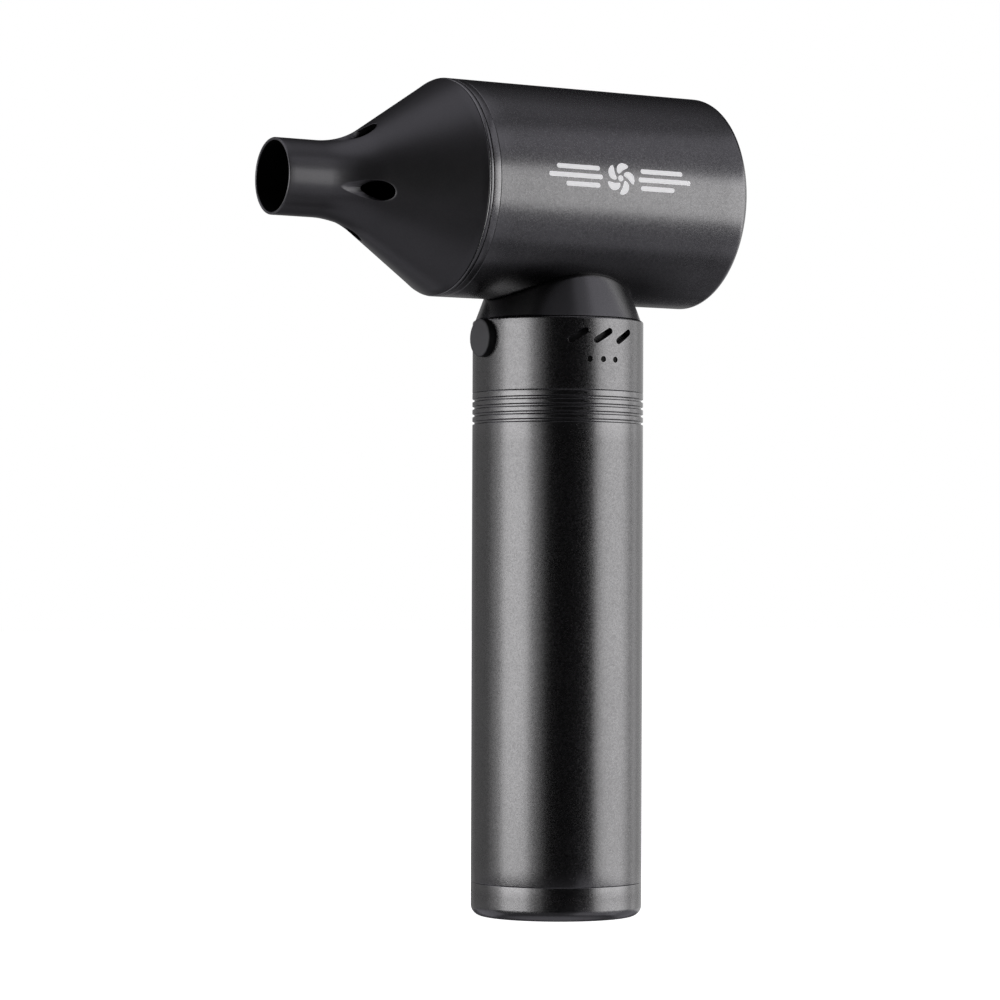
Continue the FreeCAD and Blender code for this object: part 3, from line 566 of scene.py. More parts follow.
def make_object(name, shape, body, slot, smooth_deg=32.0):
    """A mesh object with merged seams, outward normals and an edge attribute, which the finishes use to paint
    highlights on edges and, where negative, shade in the bore.
    """
    verts, faces, edges = shape
    mesh = bpy.data.meshes.new(name)
    mesh.from_pydata(verts.tolist(), [], faces.tolist())
    layer = mesh.attributes.new("edge", "FLOAT", "POINT")
    layer.data.foreach_set("value", edges.astype(np.float32))
    work = bmesh.new()
    work.from_mesh(mesh)
    bmesh.ops.remove_doubles(work, verts=work.verts, dist=2e-7)
    bmesh.ops.dissolve_degenerate(work, edges=work.edges, dist=1e-8)
    bmesh.ops.delete(work, geom=[v for v in work.verts if not v.link_faces], context="VERTS")
    bmesh.ops.recalc_face_normals(work, faces=work.faces)
    work.to_mesh(mesh)
    work.free()
    mesh.shade_smooth()
    mesh.set_sharp_from_angle(angle=np.radians(smooth_deg))
    piece = bpy.data.objects.new(name, mesh)
    bpy.context.scene.collection.objects.link(piece)
    mesh.materials.append(finish_for(slot))
    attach(piece, body)
    return piece


# ---- surfaces of revolution with holes ----
def window_lines(lines, low, high):
    """The grid lines from one side of a window to the other, both included."""
    return lines[(lines >= low - 1e-9) & (lines <= high + 1e-9)]


def window_ring(us, vs):
    """The window's border, once round, as points of the grid's own lines."""
    low, high = np.full(len(us), vs[0]), np.full(len(us), vs[-1])
    left, right = np.full(len(vs), us[0]), np.full(len(vs), us[-1])
    sides = [(us, low), (right, vs), (us[::-1], high), (left, vs[::-1])]
    return np.concatenate([np.stack(side, axis=1)[:-1] for side in sides])


def hole_ring(border, outline, scale):
    """For each border point, the hole's outline point in the same direction from its centre."""
    centre = outline.mean(axis=0)
    spoke = (border - centre) * scale
    rim = (outline - centre) * scale
    bearing = np.arctan2(rim[:, 1], rim[:, 0])
    reach = np.linalg.norm(rim, axis=1)
    wanted = np.arctan2(spoke[:, 1], spoke[:, 0])
    length = np.interp(wanted, bearing[np.argsort(bearing)], reach[np.argsort(bearing)], period=2 * np.pi)
    return centre + np.stack([np.cos(wanted), np.sin(wanted)], axis=1) * length[:, None] / scale


def pierced_skin(us, vs, surface, windows, edge_level, rings=6):
    """A surface over a grid of lines, with one hole in each window. A window's own points run from
    its border to the hole in even steps. Returns the shape and each hole's rim points in space."""
    grid_u, grid_v = np.meshgrid(us, vs, indexing="ij")
    faces = grid_faces(len(us), len(vs), False, False)
    middle_u = (grid_u[:-1, :-1] + grid_u[1:, 1:]).ravel() / 2
    middle_v = (grid_v[:-1, :-1] + grid_v[1:, 1:]).ravel() / 2
    keep = np.ones(len(faces), bool)
    shapes, rims = [], []
    for low_u, high_u, low_v, high_v, outline in windows:
        keep &= ~((middle_u > low_u) & (middle_u < high_u) & (middle_v > low_v) & (middle_v < high_v))
        border = window_ring(window_lines(us, low_u, high_u), window_lines(vs, low_v, high_v))
        scale = np.array([surface.turn_scale, 1.0])
        rim = hole_ring(border, outline, scale)
        part = (np.linspace(0, 1, rings + 1) ** 0.8)[:, None, None]
        points = border * (1 - part) + rim * part
        flat = surface(points[..., 0], points[..., 1]).reshape(-1, 3)
        levels = np.zeros((rings + 1, len(border)))
        levels[-1] = edge_level
        shapes.append((flat, grid_faces(rings + 1, len(border), False, True), levels.ravel()))
        rims.append(flat[-len(border):])
    sheet = surface(grid_u, grid_v).reshape(-1, 3)
    shapes.insert(0, (sheet, faces[keep], np.zeros(len(sheet))))
    return joined(*shapes), rims


def wall_between(rings, levels, closed=True):
    """Bands of quads that join matching rings of points. Rings whose last point repeats the first
    aren't closed here: their seam is merged with the mesh's other seams."""
    count = len(rings[0])
    edges = np.repeat(levels, count).astype(float)
    return np.concatenate(rings), grid_faces(len(rings), count, False, closed), edges


class Turned:
    """A surface of revolution: a turn and a distance along its axis give a point."""

    def __init__(self, place, radius, turn_scale):
        self.place = place
        self.radius = radius
        self.turn_scale = turn_scale

    def __call__(self, turn, along):
        return self.place(along, self.radius(along), turn)


# ---- handle ----
class BLOWER_OT_handle(bpy.types.Operator):
    """Make the handle's battery tube with its grip grooves, and its foot"""
    bl_idname = "blower.handle"
    bl_label = "Handle"

    def execute(self, context):
        edge = sizes().edge_round
        inner = GRIP_R - CASING_WALL
        corners = [(FOOT_SEAM_Z, inner, 0), (FOOT_SEAM_Z, GRIP_R, edge)]
        for index in range(sizes().groove_count, 0, -1):
            middle = GRIP_SEAM_Z - index * sizes().groove_step
            half = sizes().groove_width / 2
            floor = GRIP_R - sizes().groove_depth
            lip = edge * 0.55
            corners += [(middle - half, GRIP_R, lip), (middle - half * 0.62, floor, half * 0.4),
                        (middle + half * 0.62, floor, half * 0.4), (middle + half, GRIP_R, lip)]
        corners += [(GRIP_SEAM_Z, GRIP_R, edge * 0.8), (GRIP_SEAM_Z, inner, 0)]
        tube = turned_piece("battery_tube_skin", corners, about_grip)
        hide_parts("battery_tube")

        foot_round = 3.0 * MM
        pad_low, pad_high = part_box("base_pad")
        pad_r, pad_z = pad_high[0], pad_high[2]
        spigot_r = inner - 0.05 * MM
        spigot_bore = inner - 1.6 * MM
        corners = [(FOOT_SEAM_Z, GRIP_R, edge), (pad_low[2], GRIP_R, foot_round),
                   (pad_low[2], pad_r, 0.1 * MM), (pad_z, pad_r, 0), (pad_z, 0, 0),
                   (pad_z + 1.8 * MM, 0, 0), (pad_z + 1.8 * MM, spigot_bore, 0),
                   (FOOT_SEAM_Z + 4 * MM, spigot_bore, 0), (FOOT_SEAM_Z + 4 * MM, spigot_r, 0),
                   (FOOT_SEAM_Z, spigot_r, 0)]
        foot = turned_piece("base_cap_skin", corners, about_grip, steps=12, longest=4 * MM)
        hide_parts("base_cap")
        return {"FINISHED"}


# ---- control housing ----
# The sides of the openings' windows, in degrees round the handle from +X to +Y
BUTTON_SIDES = (-17, 17)
SLOT_SIDES = (63.3, 81.1, 98.9, 116.7)
DOT_SIDES = (75.3, 85.1, 94.9, 104.7)
INLET_SIDES = (166, 194)


def housing_turns():
    """Turns for the control housing's grid: nearly even steps, with a line at every window's side."""
    runs = ((*BUTTON_SIDES, 25), (BUTTON_SIDES[1], SLOT_SIDES[0], 30), (SLOT_SIDES[0], SLOT_SIDES[-1], 61),
            (DOT_SIDES[0], DOT_SIDES[-1], 55), (SLOT_SIDES[-1], INLET_SIDES[0], 32), (*INLET_SIDES, 21),
            (INLET_SIDES[1], BUTTON_SIDES[0] + 360, 96))
    turns = np.concatenate([np.linspace(*run) for run in runs]).round(4)
    return np.unique(np.radians(np.concatenate([turns, SLOT_SIDES, DOT_SIDES])).round(7))


def stadium_outline(centre, lean_deg, spacing, radius, steps=40):
    """A round-ended slot: two half circles whose centres stand spacing apart, on a leaning line."""
    turn = np.linspace(0, 2 * np.pi, steps, endpoint=False) + 1e-4
    shift = np.where(np.cos(turn) > 0, spacing / 2, -spacing / 2)
    a, b = radius * np.cos(turn) + shift, radius * np.sin(turn)
    sides = np.linspace(-0.9, 0.9, 9) * spacing / 2
    a = np.concatenate([a, sides, sides])
    b = np.concatenate([b, np.full(9, radius), np.full(9, -radius)])
    order = np.argsort(np.arctan2(b, a))
    c, s = np.cos(np.radians(lean_deg)), np.sin(np.radians(lean_deg))
    a, b = a[order], b[order]
    return np.stack([centre[0] + c * a - s * b, centre[1] + s * a + c * b], axis=1)


def on_turned(outline, turn_deg, radius):
    """A flat hole outline (sideways, height), drilled level through a round wall, as (turn, height)."""
    reach = radius(outline[:, 1]) if callable(radius) else radius
    return np.stack([np.radians(turn_deg) + np.arcsin(outline[:, 0] / reach), outline[:, 1]], axis=1)


class BLOWER_OT_controls(bpy.types.Operator):
    """Make the control housing with its slots, lamp holes, button hole and charging inlet"""
    bl_idname = "blower.controls"
    bl_label = "Control housing"

    def execute(self, context):
        edge = sizes().edge_round
        top_round = 0.7 * MM
        inner = GRIP_R - CASING_WALL
        rim_z = HOUSING_TOP_Z - top_round
        rise = np.array([0.0, 0.2, 0.38, 0.54, 0.68, 0.8, 0.9, 0.97]) * top_round
        chamfer = np.array([0.0, 0.1, 0.3, 0.6, 1.0]) * edge

        def outer_r(z):
            over = np.clip(z - rim_z, 0, top_round)
            under = np.clip(GRIP_SEAM_Z + edge - z, 0, edge)
            return (GRIP_R - top_round + np.sqrt(np.maximum(top_round ** 2 - over ** 2, 0))
                    - edge + np.sqrt(np.maximum(edge ** 2 - under ** 2, 0)))

        slot_z, dot_z, inlet_z = ((middle - half, middle + half) for middle, half in (
            (SCREEN_Z + 0.55 * MM, 3.2 * MM), (DOT_Z, 1.9 * MM), (INLET_Z, 3 * MM)))
        button_z = (BUTTON_Z - 6.1 * MM, HOUSING_TOP_Z - 0.03 * top_round)
        us = housing_turns()
        vs = np.unique(np.concatenate([
            GRIP_SEAM_Z + chamfer, rim_z + rise, np.linspace(*slot_z, 13),
            np.linspace(*dot_z, 13), np.linspace(*inlet_z, 9), button_z,
            np.linspace(GRIP_SEAM_Z + edge, rim_z, 14)]).round(8))
        vs = vs[vs <= button_z[1] + 1e-9]
        # Each opening: its window's sides and heights, the middle's height, the lean in degrees, the
        # spacing and radius of its round ends, the share of the bevel it gets, and its points
        openings = [(sides, slot_z, sum(slot_z) / 2, 30.8, 4.89 * MM, 0.88 * MM, 1, 40)
                    for sides in zip(SLOT_SIDES, SLOT_SIDES[1:])]
        openings += [(sides, dot_z, DOT_Z, 0, 0, 0.8 * MM, 1, 40) for sides in zip(DOT_SIDES, DOT_SIDES[1:])]
        openings += [(INLET_SIDES, inlet_z, INLET_Z, 0, 6.2 * MM, 2.1 * MM, 1, 40),
                     (BUTTON_SIDES, button_z, BUTTON_Z, 0, 0, BUTTON_R + 0.09 * MM, 0.2, 96)]

        def holes(radius, grow):
            made = []
            for (low, high), (foot, top), middle, lean, spacing, size, share, steps in openings:
                flat = stadium_outline((0, middle), lean, spacing, size + grow * share, steps)
                made.append((round(np.radians(low), 7), round(np.radians(high), 7), round(foot, 8),
                             round(top, 8), on_turned(flat, (low + high) / 2, radius)))
            return made

        bevel = 0.07 * MM
        outside = Turned(about_grip, outer_r, GRIP_R)
        below = Turned(about_grip, lambda z: outer_r(z) - bevel, GRIP_R)
        inside = Turned(about_grip, lambda z: np.full_like(z, inner), inner)
        skin, rims = pierced_skin(us, vs, outside, holes(outer_r, bevel), 0.8)
        _, low_rims = pierced_skin(us, vs, below, holes(outer_r, 0), 0)
        lining, inner_rims = pierced_skin(us, vs, inside, holes(inner, 0), 0)
        walls = [wall_between(rings, [0.8, 0, 0]) for rings in zip(rims, low_rims, inner_rims)]

        def ring(z, radius):
            return about_grip(np.full_like(us, z), np.full_like(us, radius), us)

        flange_r = NECK_FOOT_R * 0.55
        ends = []
        for z, between in ((vs[0], []), (vs[-1], [
                ring(HOUSING_TOP_Z, NECK_FOOT_R), ring(HOUSING_TOP_Z, flange_r), ring(vs[-1], flange_r)])):
            heights = np.full_like(us, z)
            rings = [outside(us, heights), *between, inside(us, heights)]
            ends.append(wall_between(rings, [0] * len(rings), closed=False))
        shape = joined(skin, lining, *walls, *ends)
        housing = make_object("control_housing_skin", shape, "housing", "anodised_casing")
        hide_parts("control_housing")
        return {"FINISHED"}


class BLOWER_OT_button(bpy.types.Operator):
    """Make the power button: a short round cap with a rounded rim and a slightly domed face"""
    bl_idname = "blower.button"
    bl_label = "Power button"

    def execute(self, context):
        post_end, face = BUTTON_X
        back = post_end + 0.8 * MM
        tab_front = back + 1.5 * MM
        dome = 0.25 * MM
        corners = [(post_end, 0, 0), (post_end, 1.3 * MM, 0.15 * MM), (back, 1.3 * MM, 0),
                   (back, BUTTON_R - 1.5 * MM, 0), (tab_front, BUTTON_R, 0),
                   (face - dome, BUTTON_R, 0.55 * MM), (face, 0, 0)]
        points, edges = densified(*rounded(corners, steps=9), 0.8 * MM)
        fall = dome * (points[:, 1] / BUTTON_R) ** 2
        crown = (points[:, 0] > face - dome) & (points[:, 1] < BUTTON_R - 0.6 * MM)
        points[:, 0] = np.where(crown, face - fall, points[:, 0])

        def about_button(along, radius, turn):
            return np.stack([along, radius * np.cos(turn), BUTTON_Z + radius * np.sin(turn)], axis=-1)

        cap = lathe(points, edges, about_button, steps=128)

        # The tabs that hold the button in: a bar whose section is a superellipse of power 12
        turn = np.linspace(0, 2 * np.pi, 96, endpoint=False)
        side, rise = (np.sign(part) * np.abs(part) ** (1 / 6) for part in (np.cos(turn), np.sin(turn)))
        near, far = back, tab_front - 0.1 * MM
        tab_rows = [np.stack([np.full_like(turn, x), side * BUTTON_TAB_Y * size,
                              BUTTON_Z + rise * BUTTON_TAB_UP * size], axis=1)
                    for x, size in ((near, 0), (near, 1), (far, 1), (far, 0))]
        tabs = wall_between(tab_rows, [0] * 4)
        button = make_object("power_button_cap", joined(cap, tabs), "power_button", "button_finish")
        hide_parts("power_button")
        return {"FINISHED"}


# ---- neck ----
class BLOWER_OT_neck(bpy.types.Operator):
    """Make the neck: a cone that rises to a saddle under the head, with a soft upper edge"""
    bl_idname = "blower.neck"
    bl_label = "Neck"

    def execute(self, context):
        slope = np.tan(np.radians(NECK_LEAN_DEG))
        turn = np.linspace(0, 2 * np.pi, LATHE_STEPS, endpoint=False)
        seat_r = HEAD_R + 0.02 * MM

        def saddle(foot_r):
            """Height where the cone meets the head, found by repeated substitution."""
            z = np.full_like(turn, HEAD_Z - HEAD_R)
            for _ in range(40):
                radius = foot_r - slope * (z - HOUSING_TOP_Z)
                z = HEAD_Z - np.sqrt(np.maximum(seat_r ** 2 - (radius * np.sin(turn)) ** 2, 0))
            return z

        foot_z = HOUSING_TOP_Z + 0.05 * MM
        top_round = 0.8 * MM
        outer_top = saddle(NECK_FOOT_R)
        inner_foot = NECK_FOOT_R - 2.2 * MM
        inner_top = saddle(inner_foot)
        rows, levels = [], []

        def row(z, radius, level):
            rows.append(about_grip(z + 0 * turn, radius + 0 * turn, turn))
            levels.append(np.full_like(turn, level))

        row(foot_z, NECK_FOOT_R - 0.25 * MM, 0)
        row(foot_z + 0.1 * MM, NECK_FOOT_R - 0.05 * MM, 0.6)
        for part in np.linspace(0.02, 1, 24):
            z = foot_z + (outer_top - top_round - foot_z) * part
            row(z, NECK_FOOT_R - slope * (z - HOUSING_TOP_Z), 0)
        shoulder_r = NECK_FOOT_R - slope * (outer_top - top_round - HOUSING_TOP_Z)
        for part in np.radians(np.linspace(15, 90, 6)):
            z = outer_top - top_round * (1 - np.sin(part))
            inset = 0.55 * top_round * (1 - np.cos(part))
            row(z, shoulder_r - inset - slope * top_round * np.sin(part), 0.5)
        row(inner_top, inner_foot - slope * (inner_top - HOUSING_TOP_Z), 0)
        row(foot_z, inner_foot, 0)
        shape = (np.concatenate(rows), grid_faces(len(rows), len(turn), True, True), np.concatenate(levels))
        neck = make_object("neck_cone", shape, "housing", "neck_finish")
        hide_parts("neck")
        return {"FINISHED"}


# ---- head ----
class BLOWER_OT_head(bpy.types.Operator):
    """Make the head's round casing and the grooved collar in front of it"""
    bl_idname = "blower.head"
    bl_label = "Head"

    def execute(self, context):
        edge = sizes().edge_round
        inner = HEAD_R - CASING_WALL
        lip = 2.5 * MM
        mouth_r = 25 * MM
        rear_round = 3.5 * MM
        corners = [(HEAD_X[1], inner, 0), (HEAD_X[0] + lip, inner, 0), (HEAD_X[0] + lip, mouth_r, 0),
                   (HEAD_X[0], mouth_r, 0.35 * MM), (HEAD_X[0], HEAD_R, rear_round),
                   (HEAD_X[1], HEAD_R, edge * 0.7)]
        points, edges = rounded(corners, steps=14)
        # The rear rounding keeps a quarter of its edge level, so it gets less painted edge highlight.
        edges[np.linalg.norm(points - [HEAD_X[0], HEAD_R], axis=1) < rear_round * 1.2] *= 0.25
        points, edges = densified(points, edges, 6 * MM)
        shell = make_object("head_casing", lathe(points, edges, about_head), "housing", "anodised_casing")
        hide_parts("head_shell")

        bore = 26 * MM
        groove_x = COLLAR_X[0] + 2.25 * MM
        groove_half = 0.13 * MM
        groove_floor = HEAD_R - 0.4 * MM
        corners = [(COLLAR_X[0], bore, 0), (COLLAR_X[0], HEAD_R, edge * 0.7),
                   (groove_x - groove_half, HEAD_R, edge * 0.5), (groove_x - groove_half, groove_floor, 0),
                   (groove_x + groove_half, groove_floor, 0), (groove_x + groove_half, HEAD_R, edge * 0.5),
                   (COLLAR_X[1], HEAD_R, 0.4 * MM), (COLLAR_X[1], bore, 0)]
        points, edges = rounded(corners)
        ring = make_object("collar_ring", lathe(points, edges, about_head), "housing", "anodised_casing")
        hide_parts("front_collar")
        return {"FINISHED"}


# ---- nozzle ----
def cone_into_tube(corner, tube_r, cone_deg, arc_r, steps):
    """The outline of a cone that runs by a tangent arc into a tube, from a point on the cone."""
    slope = np.radians(cone_deg)
    meet = corner[0] + (corner[1] - tube_r) / np.tan(slope)
    reach = arc_r * np.tan(slope / 2)
    return arc_points((meet + reach, tube_r + arc_r), arc_r, 270 - cone_deg, 270, steps)


class BLOWER_OT_nozzle(bpy.types.Operator):
    """Make the nozzle: a cone that runs into a tube, with four air slots drilled along its axis"""
    bl_idname = "blower.nozzle"
    bl_label = "Nozzle"

    def execute(self, context):
        rim_x = COLLAR_X[1] + 0.05 * MM
        tip_x = NOZZLE_X[1]
        rim_r, tip_r, bore_r = 29.85 * MM, 10.4 * MM, 9.6 * MM
        cone_deg = 33.0
        wall = 1.6 * MM / np.cos(np.radians(cone_deg))
        lip = (tip_r - bore_r) / 2
        arc = cone_into_tube((rim_x, rim_r), tip_r, cone_deg, 27 * MM, 26)
        cone = np.linspace((rim_x + 0.25 * MM, rim_r - 0.16 * MM), arc[0], 14)[:-1]
        edge_arc = arc_points((rim_x + 0.22 * MM, rim_r - 0.36 * MM), 0.22 * MM, 180, 62, 5)
        tube = np.linspace(arc[-1], (tip_x - lip, tip_r), 8)[1:]
        outer_line = np.concatenate([edge_arc, cone, arc, tube])
        inner_arc = cone_into_tube((rim_x, rim_r - wall), bore_r, cone_deg, 29 * MM, 24)
        spigot_bore = 24.4 * MM
        inner_start_x = rim_x + (rim_r - wall - spigot_bore) / np.tan(np.radians(cone_deg))
        inner_cone = np.linspace((inner_start_x, spigot_bore), inner_arc[0], 12)[:-1]
        inner_line = np.concatenate([inner_cone, inner_arc, [[tip_x - lip, bore_r]]])

        def radius_of(line):
            return lambda x: np.interp(x, line[:, 0], line[:, 1])

        def x_of(line):
            falling = line[np.argsort(line[:, 1])]
            return lambda r: np.interp(r, falling[:, 1], falling[:, 0])

        jet_r, jet_ring, first_deg = 2.75 * MM, 13.4 * MM, -15.5
        bevel = 0.07 * MM
        window_deg = 16
        runs = ((-45, -window_deg, 16), (-window_deg, window_deg, 33), (window_deg, 45, 16))
        turns = np.concatenate([first_deg + 90 * k + np.linspace(*run) for k in range(4) for run in runs])
        us = np.radians(np.unique(turns.round(5))).round(7)
        window_x = np.round((rim_x + 17.5 * MM, tip_x - 13.4 * MM), 8)

        def hole(line, turn_deg, grow):
            """The outline of one drilled slot: a circle seen along the axis, put on the surface."""
            turn = np.linspace(0, 2 * np.pi, 160, endpoint=False)
            reach = jet_ring + (jet_r + grow) * np.cos(turn)
            side = (jet_r + grow) * np.sin(turn)
            radius = np.hypot(reach, side)
            return np.stack([np.radians(turn_deg) + np.arctan2(side, reach), x_of(line)(radius)], axis=1)

        def skin_of(line, lift, grow, level):
            outside = line[(line[:, 0] < window_x[0]) | (line[:, 0] > window_x[1]), 0]
            vs = np.unique(np.concatenate([outside, np.linspace(*window_x, 40)]).round(8))
            surface = Turned(about_head, lambda x: radius_of(line)(x) - lift, jet_ring)
            windows = []
            for middle in first_deg + 90 * np.arange(4):
                low, high = (round(np.radians(middle + side), 7) for side in (-window_deg, window_deg))
                windows.append((low, high, *window_x, hole(line, middle, grow)))
            return pierced_skin(us, vs, surface, windows, level, rings=8)

        skin, rims = skin_of(outer_line, 0.0, bevel, 0.5)
        _, low_rims = skin_of(outer_line, bevel, 0.0, 0)
        (verts, faces, levels), inner_rims = skin_of(inner_line, 0.0, 0.0, 0)
        # Edge levels below zero, in the lining, the back and the tip's inner end, paint shade near black in
        # the bore; the walls' positive levels paint highlights on the slots' rims.
        lining = verts, faces, levels - 1.0
        walls = [wall_between(rings, [0.5, 1.0, -0.3]) for rings in zip(rims, low_rims, inner_rims)]

        def ring(x, r):
            return about_head(np.full_like(us, x), np.full_like(us, r), us)

        lip_arc = arc_points((tip_x - lip, tip_r - lip), lip, 90, -90, 13)
        tip = [ring(x, r) for x, r in lip_arc]
        spigot_r = 25.9 * MM
        back = [ring(*outer_line[0]), ring(rim_x, spigot_r),
                ring(NOZZLE_X[0] + 0.3 * MM, spigot_r), ring(NOZZLE_X[0], spigot_r - 0.3 * MM),
                ring(NOZZLE_X[0], spigot_bore), ring(inner_start_x, spigot_bore)]
        ends = [wall_between(tip, [0] + [0.7] * (len(tip) - 2) + [-1], closed=False),
                wall_between(back, [0, 0, 0, 0.5, 0.5, -1], closed=False)]
        nozzle = make_object("nozzle_skin", joined(skin, lining, *walls, *ends), "nozzle", "nozzle_finish")
        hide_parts("nozzle")
        return {"FINISHED"}


# ---- printed mark ----
def printed_patch(side_a, side_b):
    """A thin film on the head's side between two matching edge lines, each (forward, up) points in
    metres from the mark's centre. Forward is laid along the head and up is wrapped round it."""
    skin_r, ink = HEAD_R - 0.01 * MM, 0.03 * MM
    across = np.array([0, 0, 0.2, 0.4, 0.6, 0.8, 1, 1])[:, None]
    radius = np.array([skin_r] + [skin_r + ink] * 6 + [skin_r])[:, None]
    forward = side_a[:, 0] * (1 - across) + side_b[:, 0] * across
    up = side_a[:, 1] * (1 - across) + side_b[:, 1] * across
    middle_x = sum(HEAD_X) / 2 + 2.5 * MM
    points = about_head(middle_x + forward, radius * np.ones_like(up), np.radians(4.0) + up / skin_r)
    count = len(side_a)
    return points.reshape(-1, 3), grid_faces(8, count, True, False), np.zeros(8 * count)


def stripe_sides(start, end, up, half):
    """The two long edges of a level stripe with round ends: near an end, the height follows a
    circle of the stripe's half height."""
    run = np.cos(np.linspace(0, np.pi, 48)) * 0.5 + 0.5
    forward = start + (end - start) * run
    inset = np.minimum(forward - min(start, end), max(start, end) - forward)
    rise = np.sqrt(np.clip(1 - (1 - np.clip(inset / half, 0, 1)) ** 2, 0, 1)) * half
    return np.stack([forward, up - rise], axis=1), np.stack([forward, up + rise], axis=1)


class BLOWER_OT_mark(bpy.types.Operator):
    """Print a plain fan sign between air-flow stripes on the head's side"""
    bl_idname = "blower.mark"
    bl_label = "Printed mark"

    def execute(self, context):
        unit = sizes().mark_height / 8.5  # the sign is drawn 8.5 units high
        shapes = []
        for row, (near, far) in zip((1, 0, -1), ((6.6, 20.4), (5.8, 23.0), (6.6, 17.6))):
            for way in (1, -1):
                shapes.append(printed_patch(*stripe_sides(
                    way * near * unit, way * far * unit, row * 2.35 * unit, 0.66 * unit)))
        out = np.linspace(0, 1, 30)
        reach = (1.35 + 3.2 * out) * unit
        half_turn = 0.46 * np.sqrt(np.clip(4 * out * (1 - out), 0, 1)) ** 0.8
        for blade in range(5):
            lean = 2 * np.pi * blade / 5 + 0.75 * out
            sides = [lean - half_turn, lean + half_turn]
            shapes.append(printed_patch(*[
                np.stack([reach * np.cos(side), reach * np.sin(side)], axis=1) for side in sides]))
        shapes.append(printed_patch(*stripe_sides(-0.85 * unit, 0.85 * unit, 0, 0.85 * unit)))
        mark = make_object("printed_mark", joined(*shapes), "housing", "anodised_casing")
        mark.data.materials.clear()
        mark.data.materials.append(printed_ink())
        return {"FINISHED"}


# ---- carried-over pieces ----
class BLOWER_OT_inner_pieces(bpy.types.Operator):
    """Give every piece that keeps its own shape the finish of its material slot"""
    bl_idname = "blower.inner_pieces"
    bl_label = "Inner pieces"

    def execute(self, context):
        for entry in frame["record"]["subparts"]:
            piece = frame["nodes"][entry["node"]]
            piece.data.materials.clear()
            piece.data.materials.append(finish_for(entry["material_slot"]))
        return {"FINISHED"}


# ---- studio ----
WARM = (1.008, 1.0, 1.005)
COOL = (1.0, 0.98, 1.075)
AIM_Z = 0.13
NEAREST_BOX, BOX_STEP = 1.25, 0.03  # metres: boxes in exactly one plane would take each other's light
SOFT_BOXES = (
    # name, bearing, elevation, width and height in degrees as seen from the blower, brightness, colour
    ("right_wide", -60, 4, 80, 42, 0.235, WARM),
    ("right_middle", -50, 3, 60, 40, 0.275, WARM),
    ("right_core", -50, 2, 40, 36, 0.235, WARM),
    ("left_wide", 90, 0, 80, 30, 0.136, WARM),
    ("left_middle", 90, 0, 60, 30, 0.160, WARM),
    ("left_core", 90, 0, 40, 30, 0.580, WARM),
    ("left_rear", 145, 0, 50, 30, 0.088, WARM),
    ("right_rear", -115, 0, 50, 40, 0.200, WARM),
    ("rear", 200, 0, 56, 36, 0.080, WARM),
    ("front_upper", -15, 35, 24, 38, 0.055, COOL),
    ("right_upper", -60, 35, 50, 38, 0.143, COOL),
    ("left_upper", 120, 35, 50, 38, 0.230, COOL),
    ("front_lower", -30, -32, 60, 32, 0.075, COOL),
    ("right_lower", -90, -32, 60, 32, 0.075, COOL),
    ("left_lower", 150, -32, 50, 32, 0.085, COOL),
)


def soft_box(distance, name, bearing_deg, elevation_deg, wide_deg, tall_deg, brightness, colour):
    """An area light that faces the blower. The bearing is measured from +Y towards +X."""
    turn, lift = np.radians(bearing_deg), np.radians(elevation_deg)
    out = np.array([np.sin(turn) * np.cos(lift), np.cos(turn) * np.cos(lift), np.sin(lift)])
    side = np.cross(-out, [0, 0, 1.0])
    side /= np.linalg.norm(side)
    rise = np.cross(side, -out)
    place = out * distance + [0, 0, AIM_Z]
    light = bpy.data.lights.new(name, "AREA")
    light.shape = "RECTANGLE"
    light.color = colour
    light.size = 2 * distance * np.tan(np.radians(wide_deg / 2))
    light.size_y = 2 * distance * np.tan(np.radians(tall_deg / 2))
    light.energy = 10 * brightness * light.size * light.size_y
    holder = bpy.data.objects.new(name, light)
    holder.matrix_world = Matrix([(side[i], rise[i], out[i], place[i]) for i in range(3)] + [(0, 0, 0, 1)])
    holder.visible_camera = False
    bpy.context.scene.collection.objects.link(holder)


def studio_world():
    """White to the camera. To the blower, a dim glow from the table below and the ceiling above."""
    world = bpy.data.worlds.new("studio_world")
    world.use_nodes = True
    tree = world.node_tree

    def link(source, target):
        tree.links.new(source, target)

    height = tree.nodes.new("ShaderNodeSeparateXYZ")
    link(tree.nodes.new("ShaderNodeTexCoord").outputs["Generated"], height.inputs[0])
    scale = tree.nodes.new("ShaderNodeMapRange")
    link(height.outputs["Z"], scale.inputs["Value"])
    scale.inputs["From Min"].default_value = -1
    ramp = tree.nodes.new("ShaderNodeValToRGB")
    link(scale.outputs["Result"], ramp.inputs["Fac"])
    stops = ((0.0, 0.27), (0.06, 0.24), (0.12, 0.07), (0.3, 0.1),
             (0.42, 0.0), (0.78, 0.02), (0.9, 0.1), (0.98, 0.56))
    while len(ramp.color_ramp.elements) < len(stops):
        ramp.color_ramp.elements.new(0.5)
    for element, (place, level) in zip(ramp.color_ramp.elements, stops):
        element.position = place
        element.color = (*(level * part for part in COOL), 1)
    mix = tree.nodes.new("ShaderNodeMix")
    mix.data_type = "RGBA"
    link(tree.nodes.new("ShaderNodeLightPath").outputs["Is Camera Ray"], mix.inputs[0])
    link(ramp.outputs["Color"], mix.inputs[6])
    mix.inputs[7].default_value = (1, 1, 1, 1)
    link(mix.outputs[2], tree.nodes["Background"].inputs["Color"])
    return world


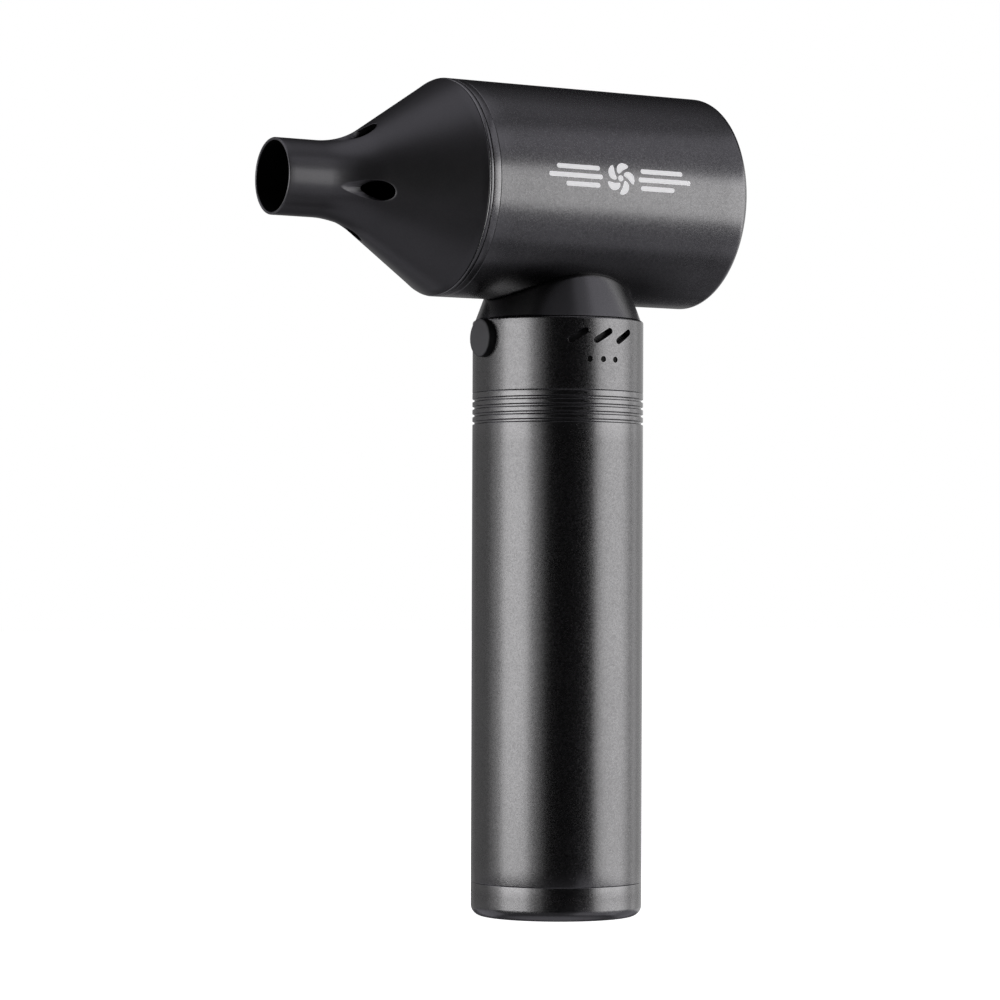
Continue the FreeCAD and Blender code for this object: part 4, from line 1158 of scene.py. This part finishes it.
class BLOWER_OT_studio(bpy.types.Operator):
    """Lay the pale floor, set the soft lights and place the camera"""
    bl_idname = "blower.studio"
    bl_label = "Studio"

    def execute(self, context):
        scene = context.scene
        scene.view_settings.view_transform = "Standard"
        scene.world = studio_world()
        half = 6.0
        mesh = bpy.data.meshes.new("studio_floor")
        corners = [(-half, -half, 0), (half, -half, 0), (half, half, 0), (-half, half, 0)]
        mesh.from_pydata(corners, [], [(0, 1, 2, 3)])
        floor = bpy.data.objects.new("studio_floor", mesh)
        scene.collection.objects.link(floor)
        finish = Finish("pale_floor", Specular_IOR_Level=0.1)
        base = tuple(colours().floor)
        mottle = finish.noise(14.0, detail=4.0)
        finish.set(Base_Color=finish.tint(scaled(base, 0.98), base, mottle), Roughness=0.8 + mottle * 0.1,
                   Emission_Color=(1, 1, 1), Emission_Strength=1.0)
        mesh.materials.append(finish.material)
        floor.visible_glossy = False
        floor.visible_diffuse = False
        floor.visible_shadow = False

        for step, box in enumerate(SOFT_BOXES):
            soft_box(NEAREST_BOX + BOX_STEP * step, *box)

        lens_mm = 128.03
        yaw, pitch, roll = np.radians(30.713), np.radians(-0.1606), np.radians(0.2003)
        ahead = np.array([-np.sin(yaw) * np.cos(pitch), -np.cos(yaw) * np.cos(pitch), np.sin(pitch)])
        level_right = np.array([-np.cos(yaw), np.sin(yaw), 0.0])
        level_up = np.cross(level_right, ahead)
        right = np.cos(roll) * level_right + np.sin(roll) * level_up
        up = np.cos(roll) * level_up - np.sin(roll) * level_right
        place = (0.52488, 0.85213, 0.09136)
        data = bpy.data.cameras.new("studio_camera")
        data.lens = lens_mm
        data.sensor_width = 36.0
        data.shift_y = 0.1
        camera = bpy.data.objects.new("studio_camera", data)
        camera.matrix_world = Matrix(
            [(right[i], up[i], -ahead[i], place[i]) for i in range(3)] + [(0, 0, 0, 1)])
        scene.collection.objects.link(camera)
        scene.camera = camera
        return {"FINISHED"}


class BLOWER_PT_panel(bpy.types.Panel):
    """Lists the steps that finish the blower"""
    bl_label = "Jet Blower"
    bl_idname = "BLOWER_PT_panel"
    bl_space_type = "VIEW_3D"
    bl_region_type = "UI"
    bl_category = "Jet Blower"

    def draw(self, context):
        for group in (context.scene.blower_sizes, context.scene.blower_colours):
            for name in group.__annotations__:
                self.layout.prop(group, name)
        for step in STEPS:
            self.layout.operator(step.bl_idname)


STEPS = (BLOWER_OT_inner_pieces, BLOWER_OT_handle, BLOWER_OT_controls, BLOWER_OT_button, BLOWER_OT_neck,
         BLOWER_OT_head, BLOWER_OT_nozzle, BLOWER_OT_mark, BLOWER_OT_studio)
CLASSES = (BlowerSizes, BlowerColours) + STEPS + (BLOWER_PT_panel,)


def register():
    for item in CLASSES:
        bpy.utils.register_class(item)
    bpy.types.Scene.blower_sizes = PointerProperty(type=BlowerSizes)
    bpy.types.Scene.blower_colours = PointerProperty(type=BlowerColours)


def unregister():
    del bpy.types.Scene.blower_sizes
    del bpy.types.Scene.blower_colours
    for item in reversed(CLASSES):
        bpy.utils.unregister_class(item)


def main():
    register()
    for step in STEPS:
        group, name = step.bl_idname.split(".")
        getattr(getattr(bpy.ops, group), name)()


if __name__ == "__main__":
    main()
